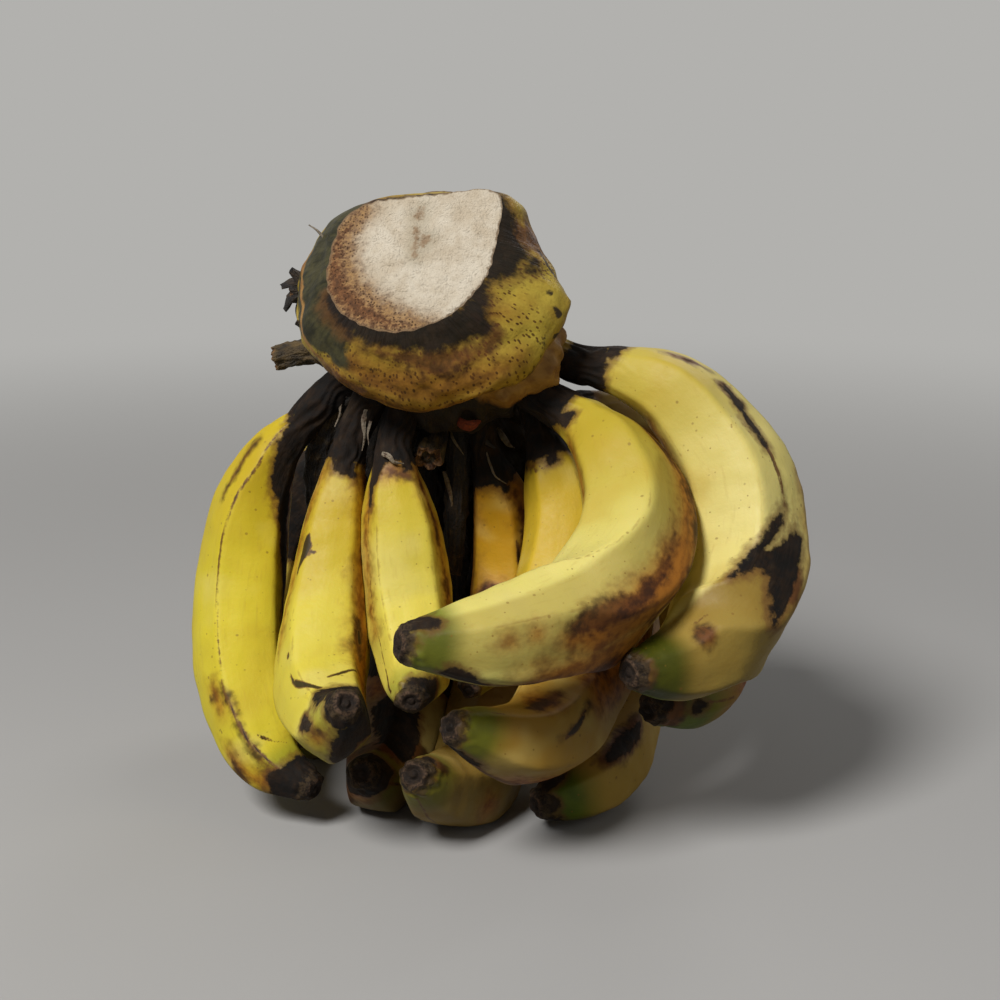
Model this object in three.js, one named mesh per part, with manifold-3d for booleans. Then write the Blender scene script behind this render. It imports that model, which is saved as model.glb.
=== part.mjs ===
// A picked bunch of bananas: two hands of fingers on a short length of sawn stalk, resting on its lowest
// fingers. Millimetres, +Z up. X runs to the right and Y away, for a viewer whom the sawn face looks at.
import * as THREE from "three";
import { mergeVertices } from "three/addons/utils/BufferGeometryUtils.js";
import Module from "manifold-3d";

const wasm = await Module();
wasm.setup();

const JOIN_GAP = 0.3; // left between the stalk and each finger's root
const MERGE = 1e-3; // vertices closer than this are one
// Puts the middle of the bunch's footprint at the origin and its lowest point on z = 0.
const TO_ORIGIN = [7.7, 13.5, -3.5];

// ---- Fingers ----------------------------------------------------------------------------------------

const GIRTH = 17; // radius of a finger of stoutness 1 at its fattest
const SIDES = 10; // five ridges, and the middles of the five faces between them
const RIDGES = 5;
const RIDGE = 0.055; // how far a ridge stands out of the round, as a share of the radius
const RIDGED = [0.35, 0.8]; // a finger turns from round to ridged between these shares of the girth
// Share of the length from the root to the blossom tip, and the radius there as a share of the girth.
const PROFILE = [
  [0, 0], [0, 0.42], [0.06, 0.37], [0.13, 0.38], [0.19, 0.51], [0.26, 0.7], [0.34, 0.85], [0.44, 0.96],
  [0.55, 1], [0.66, 0.98], [0.76, 0.9], [0.85, 0.76], [0.92, 0.58], [0.965, 0.43], [0.985, 0.36],
  [1, 0.24], [1, 0],
];

// Each finger's stoutness, and its centreline from the root inside the crown to the blossom tip.
const FINGERS = {
  hand1_banana1: [0.93, [
    [-53, -8, 153], [-63, -12, 146], [-71, -12, 137], [-80, -12, 127], [-87, -12, 112], [-92, -16, 88],
    [-93, -25, 61], [-88, -38, 40], [-80, -49, 26], [-66, -60, 20],
  ]],
  hand1_banana2: [0.92, [
    [-44, -22, 151], [-53, -24, 133], [-59, -30, 104], [-61, -44, 75], [-60, -64, 56], [-54, -84, 53],
    [-48, -102, 67],
  ]],
  hand1_banana3: [0.86, [
    [-33, -23, 148], [-36.5, -31, 133], [-34, -38, 105], [-31, -46, 80], [-29, -62, 64], [-29, -82, 60],
  ]],
  hand1_banana4: [0.7, [
    [-6, -20, 147], [-5, -15, 129], [0, -9, 107], [1, -9, 85], [-1, -20, 65], [-6, -34, 55],
    [-11, -48, 51],
  ]],
  hand1_banana5: [0.8, [
    [9, -15, 150], [14, -19, 138], [19, -22, 124], [22, -27, 107], [20, -36, 90], [12, -50, 77],
    [2, -62, 71],
  ]],
  hand1_banana6: [1.05, [
    [5, -24, 156], [16, -32, 149], [27, -39, 141], [36.5, -50, 132], [44, -61, 120], [43, -75, 107.5],
    [30, -91, 96.5], [13, -103, 92], [-5, -113, 91], [-30, -124, 94],
  ]],
  hand1_banana7: [1.03, [
    [11, -14, 167], [26, -24, 161], [42, -30, 159], [57, -35, 154], [69, -40, 142], [79, -47, 128],
    [83, -55, 111], [83, -64, 94], [76, -75, 81], [62, -87, 74], [40, -102, 77],
  ]],
  hand2_banana1: [1, [
    [4, 6, 140], [28, 12, 139], [56, 13, 132], [73, 10, 113], [74.5, -2, 87], [72, -29, 66],
    [69, -55, 55], [49, -72, 53],
  ]],
  hand2_banana2: [1, [
    [13, 14, 128], [26, 13, 116], [39, 5, 99], [40, -14, 75], [25, -48, 50], [9, -84, 47],
    [-16, -104, 60],
  ]],
  hand2_banana3: [1, [
    [14, 26, 118], [28, 32, 98], [44, 24, 68], [45, 4, 38], [38, -28, 20], [29, -51, 16.5], [12, -61, 14],
  ]],
  hand2_banana4: [1, [
    [-4, 18, 118], [-3, 24, 94], [0, 18, 62], [-1, -6, 33], [-8, -41, 18], [-19, -66, 23],
    [-28, -88, 37],
  ]],
  hand2_banana5: [0.95, [
    [-20, 17, 114], [-25, 20, 86], [-31, 10, 50], [-38, -12, 23.5], [-42, -42, 17], [-47, -66, 28],
  ]],
  hand2_banana6: [0.95, [
    [-30, 24, 118], [-45, 36, 90], [-63, 42, 55], [-68, 30, 24], [-72, 6, 16.5], [-75, -16, 23],
  ]],
  hand2_banana7: [0.95, [
    [-30, 32, 132], [-56, 52, 115], [-86, 66, 84], [-98, 52, 50], [-99, 26, 30], [-95, 4, 24],
  ]],
  hand2_banana8: [0.95, [
    [-10, 30, 118], [-18, 40, 99], [-31, 62, 80], [-38, 76, 54], [-35, 70, 28], [-31, 50, 16],
    [-26, 24, 19],
  ]],
  hand2_banana9: [0.92, [
    [5, 32, 120], [12, 42, 100], [26, 60, 82], [37, 72, 56], [35, 64, 28], [25, 44, 15], [12, 20, 19],
  ]],
  hand2_banana10: [0.87, [
    [-4, 42, 118], [-6, 45, 104], [-8, 58, 91], [-7, 79, 72], [-5, 88, 48], [-3, 80, 23], [-3, 58, 14],
    [-4, 36, 18],
  ]],
};

// Bends a profile of [share of the length, radius] rows along a centreline. Angle 0 is the bend's inside.
function bentGeometry(line, profile, sides, reach = (radius) => radius) {
  const points = line.map((point) => new THREE.Vector3(...point));
  const curve = new THREE.CatmullRomCurve3(points, false, "centripetal");
  const [start, middle, end] = [0, 0.5, 1].map((share) => curve.getPointAt(share));
  const bendAxis = middle.clone().sub(start).cross(end.clone().sub(middle)).normalize();
  const outline = profile.map(([share, radius]) => new THREE.Vector2(radius, share));
  const geometry = new THREE.LatheGeometry(outline, sides);
  const position = geometry.getAttribute("position");
  for (let i = 0; i < position.count; i++) {
    const [x, share, z] = [position.getX(i), position.getY(i), position.getZ(i)];
    const angle = Math.atan2(x, z);
    const inside = bendAxis.clone().cross(curve.getTangentAt(share)).normalize();
    const side = curve.getTangentAt(share).cross(inside);
    const out = inside.multiplyScalar(Math.cos(angle)).addScaledVector(side, Math.sin(angle));
    const point = curve.getPointAt(share).addScaledVector(out, reach(Math.hypot(x, z), angle));
    position.setXYZ(i, point.x, point.y, point.z);
  }
  return geometry;
}

function fingerGeometry([stout, line]) {
  return bentGeometry(line, PROFILE, SIDES, (radius, angle) => {
    const ridged = THREE.MathUtils.smoothstep(radius, ...RIDGED);
    return GIRTH * stout * radius * (1 + RIDGE * ridged * Math.cos(RIDGES * angle));
  });
}

// ---- Stalk ------------------------------------------------------------------------------------------

const CUT_CENTRE = new THREE.Vector3(-28, -48, 199); // middle of the sawn face
const CUT_RADIUS = 26.5;
// The sawn face is a half round whose back is nearly flat and lies further back on the right. Each corner
// follows a rounded square: how far the face reaches across and back there, and the square's power.
const CUT_CORNERS = {
  front: { left: [29, 26.6, 1.8], right: [26.5, 26.6, 2.1] },
  back: { left: [29, 25.6, 4.8], right: [26.5, 25.6, 7] },
};
const CUT_SLANT = 0.148; // how much further back the back edge is for each mm to the right
const STALK_LEAN = 15; // degrees to the left of the viewer
const STALK_RISE = 38; // degrees above level
const STALK_SIDES = 36;
const SHOULDER = 0.2; // share of the radius by which the lip falls short at its back right
const LIP_RIGHT = 0.8; // how far the lip's middle lies to the right of the sawn face's
// Depth below the sawn face, radius there, how far the outline has gone from the sawn face's to round, and
// how much wider than deep it is. The lip below the sawn face overhangs the neck that carries hand 1.
const STALK_LEVELS = [
  [0, 0, 0, 1], [0, CUT_RADIUS, 0, 1], [2, 28.5, 0.05, 1.04], [8, 33, 0.25, 1.12],
  [15, 37.5, 0.55, 1.16], [21, 40.5, 0.85, 1.15], [25, 41, 1, 1.12], [28, 39.5, 1, 1.09],
  [31, 34, 1, 1.07], [36, 30, 1, 1.06], [44, 33, 1, 1.04], [52, 34.5, 1, 1], [62, 31, 1, 1],
  [72, 25, 1, 1], [84, 27, 1, 1], [98, 28.5, 1, 1], [110, 28, 1, 1], [120, 25, 1, 1],
  [127, 21, 1, 1], [131, 19.5, 1, 1], [131, 0, 1, 1],
];

// Where the neck swells out under the lip to carry the two right fingers of hand 1. Angles are in degrees
// from the viewer's right towards the back.
const JOINT = { angle: -19, angleSpread: 27, depth: 41, depthSpread: 9.5, swell: 12 };

// Pedicels whose fingers are gone: the centreline of each and its radii along it.
const STUB_SIDES = 8;
const STUBS = [
  { radii: [6.5, 5.2, 4.4, 4.2], line: [[-52, -8, 161], [-63, -5, 163], [-71, -4, 162], [-80, -4, 160]] },
  { radii: [6, 5, 3.5], line: [[-55, -19, 184], [-66, -20, 186], [-72, -21, 186]] },
  { radii: [6, 5.2, 4.8], line: [[-22, -10, 142], [-24, -20, 134], [-25, -29, 129]] },
  { radii: [5, 4.4, 4, 2.6], line: [[-15, -8, 142], [-15, -12, 122], [-16, -11, 102], [-17, -9, 82]] },
  { radii: [6.5, 6, 5, 3], line: [[-38, -5, 152], [-56, -8, 144], [-65, -4, 124], [-68, 0, 100]] },
  { radii: [6, 5.5, 4], line: [[-36, -6, 150], [-42, -4, 132], [-44, 0, 112]] },
];

function stalkFrame() {
  const [lean, rise] = [STALK_LEAN, STALK_RISE].map(THREE.MathUtils.degToRad);
  const level = new THREE.Vector3(-Math.sin(lean), -Math.cos(lean), 0);
  const axis = level.multiplyScalar(Math.cos(rise)).setZ(Math.sin(rise));
  const across = new THREE.Vector3(Math.cos(lean), -Math.sin(lean), 0);
  return new THREE.Matrix4().makeBasis(across, axis.clone().cross(across), axis).setPosition(CUT_CENTRE);
}

// How far the sawn face's edge lies from its middle in a direction, as a share of its radius.
function cutEdge(across, back) {
  const level = back - CUT_SLANT * across;
  const corner = CUT_CORNERS[level > 0 ? "back" : "front"][across > 0 ? "right" : "left"];
  const [wide, deep, power] = corner;
  const reach = Math.abs(across / wide) ** power + Math.abs(level / deep) ** power;
  return reach ** (-1 / power) / CUT_RADIUS;
}

// How far the neck swells out at an angle and a depth.
function jointSwell(angle, depth) {
  const turn = (THREE.MathUtils.radToDeg(angle) - JOINT.angle) / JOINT.angleSpread;
  const down = (depth - JOINT.depth) / JOINT.depthSpread;
  return JOINT.swell * Math.exp(-turn * turn - down * down);
}

function stalkGeometry(grow) {
  const levels = STALK_LEVELS.toReversed();
  const profile = levels.map(([depth, radius]) => new THREE.Vector2(radius > 0 ? radius + grow : 0, -depth));
  const geometry = new THREE.LatheGeometry(profile, STALK_SIDES);
  const position = geometry.getAttribute("position");
  for (let i = 0; i < position.count; i++) {
    const [x, height, z] = [position.getX(i), position.getY(i), position.getZ(i)];
    const radius = Math.hypot(x, z);
    if (radius === 0) {
      position.setXYZ(i, 0, 0, height);
      continue;
    }
    const [, , round, wide] = levels[i % levels.length];
    const [across, back] = [x / radius, -z / radius];
    const lipped = Math.sqrt(round);
    const shoulder = 1 - SHOULDER * lipped * 2 * Math.max(across, 0) * Math.max(back, 0);
    const reach = radius * shoulder * THREE.MathUtils.lerp(cutEdge(across, back), 1, round)
      + jointSwell(Math.atan2(back, across), -height);
    position.setXYZ(i, reach * wide * across + LIP_RIGHT * lipped, reach * back, height);
  }
  return geometry.applyMatrix4(stalkFrame());
}

function stubGeometry({ radii, line }, grow) {
  const rings = radii.map((radius, i) => [i / (radii.length - 1), radius + grow]);
  return bentGeometry(line, [[0, 0], ...rings, [1, 0]], STUB_SIDES);
}

// The stalk with its stubs, all its radii grown by an amount.
function stalkSolid(grow) {
  const stubs = STUBS.map((stub) => solidOf(stubGeometry(stub, grow)));
  return wasm.Manifold.union([solidOf(stalkGeometry(grow)), ...stubs]);
}

// ---- Bunch ------------------------------------------------------------------------------------------

function solidOf(geometry) {
  geometry.deleteAttribute("normal");
  geometry.deleteAttribute("uv");
  const merged = mergeVertices(geometry, MERGE);
  const vertProperties = merged.getAttribute("position").array;
  const triVerts = new Uint32Array(merged.index.array);
  return new wasm.Manifold(new wasm.Mesh({ numProp: 3, vertProperties, triVerts }));
}

function geometryOf(solid) {
  const { vertProperties, triVerts } = solid.getMesh();
  const geometry = new THREE.BufferGeometry();
  geometry.setAttribute("position", new THREE.BufferAttribute(vertProperties, 3));
  return geometry.setIndex(new THREE.BufferAttribute(triVerts, 1));
}

const bunch = new THREE.Group();
bunch.name = "banana_bunch";
const peel = new THREE.MeshStandardMaterial({ color: 0xd8b83c, roughness: 0.5 });
const skin = new THREE.MeshStandardMaterial({ color: 0x8a6d2c, roughness: 0.7 });

function add(name, solid, material) {
  const mesh = new THREE.Mesh(geometryOf(solid.translate(TO_ORIGIN)), material);
  mesh.name = name;
  bunch.add(mesh);
}

const clearance = stalkSolid(JOIN_GAP);
add("stalk", stalkSolid(0), skin);
for (const [name, finger] of Object.entries(FINGERS)) {
  add(name, solidOf(fingerGeometry(finger)).subtract(clearance), peel);
}

export default bunch;
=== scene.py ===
"""The looks of a picked bunch of bananas: two hands of fingers on a short length of sawn stalk.

Shapes are written in millimetres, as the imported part's source has them, and become metres when a mesh
is made.
"""

import math
import random

import bpy
import numpy as np
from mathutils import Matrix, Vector
from mathutils.bvhtree import BVHTree


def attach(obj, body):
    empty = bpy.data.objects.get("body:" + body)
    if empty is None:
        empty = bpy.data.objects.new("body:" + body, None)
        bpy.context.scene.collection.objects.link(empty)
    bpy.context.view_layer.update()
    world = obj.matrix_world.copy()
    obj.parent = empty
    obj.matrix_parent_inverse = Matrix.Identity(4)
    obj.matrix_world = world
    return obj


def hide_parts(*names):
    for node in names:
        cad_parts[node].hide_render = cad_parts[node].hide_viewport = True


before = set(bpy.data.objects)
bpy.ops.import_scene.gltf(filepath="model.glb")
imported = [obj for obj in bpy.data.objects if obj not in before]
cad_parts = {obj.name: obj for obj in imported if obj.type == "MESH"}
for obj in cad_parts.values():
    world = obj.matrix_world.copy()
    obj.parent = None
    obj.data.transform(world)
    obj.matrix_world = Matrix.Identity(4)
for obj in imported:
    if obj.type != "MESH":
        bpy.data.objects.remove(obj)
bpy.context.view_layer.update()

MM = 0.001
TO_ORIGIN = np.array([7.7, 13.5, -3.5])  # from the millimetres written here to the part's own frame

# ---- Fingers: shapes ---------------------------------------------------------------------------------

GIRTH = 17  # radius of a finger of stoutness 1 at its fattest
FINGER_SIDES = 84  # 1.3 mm apart round the fattest finger
ROWS_PER_STOP = 13
FACE_ANGLES = np.radians([36, 108, 180, 252, 324])  # middles of the five faces, with a ridge between each two
FACE_SHARPNESS = 28  # higher is nearer a plain pentagon
FACETED = 0.7  # 0 is round, 1 a pentagon
RIDGED = (0.35, 0.8)  # a finger turns from round to ridged between these shares of the girth
# Share of the length from the root to the blossom tip, and the radius there as a share of the girth. The
# last stops turn in over the blunt blossom end to the scar in its middle.
PROFILE = [
    (0, 0.42), (0.06, 0.37), (0.13, 0.38), (0.19, 0.51), (0.26, 0.7), (0.34, 0.85), (0.44, 0.96), (0.55, 1),
    (0.66, 0.98), (0.76, 0.9), (0.85, 0.76), (0.92, 0.58), (0.965, 0.43), (0.984, 0.36), (0.996, 0.29),
    (1.002, 0.21), (1.001, 0.15), (0.999, 0.1), (1.003, 0.05), (1.004, 0),
]

FLATTENED = 0.05  # height in mm of the skin where a finger's weight rests on it
TOUCHING = 0.2  # mm left between two fingers that press on each other
PRESS_REACH = 6  # mm up to which the skin of one finger looks for another's
# Swells of the peel: the size and rise of each in mm, and what the finger's number gets added for its seed.
PEEL_SWELLS = [(34, 0.4, 0), (10, 0.12, 50)]
NECK_FOLDS, NECK_FOLD_RISE = 9, 0.4  # how many go round the dried neck, and mm
BLUNT_SIZE, BLUNT_RISE = 4, 0.35  # mm, of the bumps on the blunt blossom end
# Shares of the length between which the neck's folds fade, the body evens out and the blunt end begins, and
# from which the scar may show.
NECK, BODY, BLUNT, SCAR = (0.24, 0.1), (0.985, 0.9), (0.95, 0.985), 0.97
SCAR_RADII = (0.36, 0.06)  # shares of the girth from the scar's edge to its middle
# Each finger's stoutness, and its centreline from the root inside the crown to the blossom tip.
FINGERS = {
    "hand1_banana1": (0.93, [
        (-53, -8, 153), (-63, -12, 146), (-71, -12, 137), (-80, -12, 127), (-87, -12, 112), (-92, -16, 88),
        (-93, -25, 61), (-88, -38, 40), (-80, -49, 26), (-63.5, -61, 20)]),
    "hand1_banana2": (0.92, [
        (-44, -22, 151), (-52, -24, 133), (-57, -30, 104), (-60.3, -44, 75), (-60, -64, 56), (-54, -84, 53),
        (-48, -102, 67)]),
    "hand1_banana3": (0.86, [
        (-33, -23, 148), (-36.5, -31, 133), (-34, -38, 105), (-31, -46, 80), (-29, -62, 64), (-29, -82, 60)]),
    "hand1_banana4": (0.7, [
        (-6, -20, 147), (-5, -15, 129), (0, -9, 107), (1, -9, 85), (-1, -20, 65), (-6, -34, 55),
        (-11, -48, 51)]),
    "hand1_banana5": (0.8, [
        (9, -15, 150), (14, -19, 138), (19, -22, 124), (22, -27, 107), (20, -36, 90), (12, -50, 77),
        (2, -62, 71)]),
    "hand1_banana6": (1.05, [
        (5, -24, 156), (16.5, -32, 150), (28.5, -39, 143), (38, -50, 134), (43.5, -61, 121), (42.5, -75, 108),
        (30, -91, 96.5), (13, -103, 92), (-5, -113, 91), (-30, -124, 94)]),
    "hand1_banana7": (1.03, [
        (11, -14, 167), (26, -24, 161), (42, -30, 159), (57, -35, 154), (69, -40, 142), (79, -47, 128),
        (83, -55, 111), (81, -64, 95.5), (72.5, -75, 83.5), (59.5, -87, 76.3), (40, -102, 77)]),
    "hand2_banana1": (1, [
        (4, 6, 140), (28, 12, 139), (56, 13, 132), (73, 10, 113), (74.5, -2, 87), (72, -29, 66),
        (69, -55, 55), (49, -72, 53)]),
    "hand2_banana2": (1, [
        (13, 14, 128), (26, 13, 116), (39, 5, 99), (40, -14, 75), (25, -48, 50), (9, -84, 47),
        (-16, -104, 60)]),
    "hand2_banana3": (1, [
        (14, 26, 118), (28, 32, 98), (44, 24, 68), (45, 4, 38), (38, -28, 20), (29, -51, 16.5),
        (12, -61, 14)]),
    "hand2_banana4": (1, [
        (-4, 18, 118), (-3, 24, 94), (0, 18, 62), (-1, -6, 33), (-8, -41, 18), (-19, -66, 23),
        (-28, -88, 37)]),
    "hand2_banana5": (0.95, [
        (-20, 17, 114), (-25, 20, 86), (-31, 10, 50), (-38, -12, 23.5), (-42, -42, 17), (-47, -66, 28)]),
    "hand2_banana6": (0.95, [
        (-30, 24, 118), (-45, 36, 90), (-63, 42, 55), (-68, 30, 24), (-72, 6, 16.5), (-75, -16, 23)]),
    "hand2_banana7": (0.95, [
        (-30, 32, 132), (-56, 52, 115), (-86, 66, 84), (-98, 52, 50), (-99, 26, 30), (-95, 4, 24)]),
    "hand2_banana8": (0.95, [
        (-10, 30, 118), (-18, 40, 99), (-31, 62, 80), (-38, 76, 54), (-35, 70, 28), (-31, 50, 16),
        (-26, 24, 19)]),
    "hand2_banana9": (0.92, [
        (5, 32, 120), (12, 42, 100), (26, 60, 82), (37, 72, 56), (35, 64, 28), (25, 44, 15), (12, 20, 19)]),
    "hand2_banana10": (0.87, [
        (-4, 42, 118), (-6, 45, 104), (-8, 58, 91), (-7, 79, 72), (-5, 88, 48), (-3, 80, 23), (-3, 58, 14),
        (-4, 36, 18)]),
}

# How much fatter than others of its stoutness a finger is part of the way along: (by what share, where as
# a share of the length, over how much of it).
FATTER = {
    "hand1_banana2": (-0.1, 0.36, 0.17), "hand1_banana6": (0.13, 0.31, 0.21),
    "hand1_banana7": (0.15, 0.79, 0.15),
}

# How far the ridges of a finger have turned round it, as (share of the length, degrees). Others don't turn.
RIDGE_TURNS = {
    "hand1_banana1": [
        (0.14, 4), (0.24, 0), (0.31, 9), (0.42, 14), (0.64, 11), (0.76, 12), (0.84, 6), (0.9, 1), (1, 4),
    ],
    "hand1_banana2": [(0, -15), (0.5, -15), (0.7, -24), (1, -27)],
    "hand1_banana3": [(0, -34), (1, -34)],
    "hand1_banana4": [(0, -40), (1, -40)],
    "hand1_banana5": [(0, 58), (1, 58)],
    "hand1_banana6": [
        (0, -16), (0.38, -16), (0.47, -12), (0.55, -5), (0.63, 10), (0.7, 32), (0.8, 38), (1, 38),
    ],
    "hand1_banana7": [(0, -16), (0.62, -16), (0.74, -1), (0.83, 44), (1, 48)],
}

# ---- Fingers: colour and marks -----------------------------------------------------------------------

# The yellow of each finger near the stalk and further out, before its stains. It is partly painted shade:
# darker near the stalk, and darker and browner on the fingers of hand 2.
PEEL_COLOURS_AND_SHADE = {
    "hand1_banana1": ("#cab023", "#decb38"), "hand1_banana2": ("#c3a51e", "#dcca48"),
    "hand1_banana3": ("#c9b130", "#e4d256"), "hand1_banana4": ("#c3921c", "#c0901e"),
    "hand1_banana5": ("#bfa024", "#cdac2e"), "hand1_banana6": ("#bba432", "#dfd172"),
    "hand1_banana7": ("#c5b04a", "#e2d27e"), "hand2_banana1": ("#6a5224", "#8f7530"),
    "hand2_banana2": ("#a57c2c", "#b38a35"), "hand2_banana3": ("#9c7830", "#bb9640"),
    "hand2_banana4": ("#86652a", "#957836"), "hand2_banana5": ("#74531f", "#7a602c"),
    "hand2_banana6": ("#8c6c2a", "#8a6e32"),
}
OTHER_COLOURS_AND_SHADE = ("#bda03a", "#cdb450")

# Where the black of the dried pedicel starts and ends, as shares of the length.
PEDICEL_BLACK = {
    "hand1_banana1": (0, 0.13), "hand1_banana2": (0, 0.165), "hand1_banana3": (0, 0.2),
    "hand1_banana4": (0, 0.25), "hand1_banana5": (0, 0.23), "hand1_banana6": (0, 0.135),
    "hand1_banana7": (0.085, 0.165),
}
OTHER_BLACK = (0, 0.15)
# The shares between which a finger's end is still green, and how deep that green is.
UNRIPE = {
    "hand1_banana1": (0.9, 0.97, 0.6), "hand1_banana2": (0.88, 0.98, 0.45),
    "hand1_banana3": (0.92, 0.99, 0.5), "hand1_banana6": (0.915, 0.985, 0.9),
    "hand1_banana7": (0.915, 0.99, 1), "hand2_banana1": (0.9, 1, 1), "hand2_banana2": (0.925, 0.985, 0.85),
    "hand2_banana3": (0.91, 1, 1), "hand2_banana4": (0.93, 1, 0.6), "hand2_banana5": (0.9, 1, 0.5),
}
OTHER_UNRIPE = (0.92, 0.985, 0.7)
# The share from which the blossom end is black.
BLOSSOM_BLACK = {"hand1_banana2": 0.965, "hand2_banana5": 0.95}
PLAIN_BLOSSOM_BLACK = 0.992

# Down to these shares, the side facing the front fingers is black: painted shade behind the front fingers.
PAINTED_SHADE_BLACK = {
    "hand2_banana4": 0.42, "hand2_banana5": 0.55, "hand2_banana6": 0.6, "hand2_banana7": 0.56,
    "hand2_banana8": 0.6, "hand2_banana9": 0.4, "hand2_banana10": 0.7,
}

PAINTED_SHADE_WIDTH = 16  # mm that a peel which faces the viewer squarely lies inside that black

# How dark the painted shade is on the shaded faces of these fingers.
FACE_SHADING = {"hand1_banana6": 0.5, "hand1_banana7": 0.95}
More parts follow.
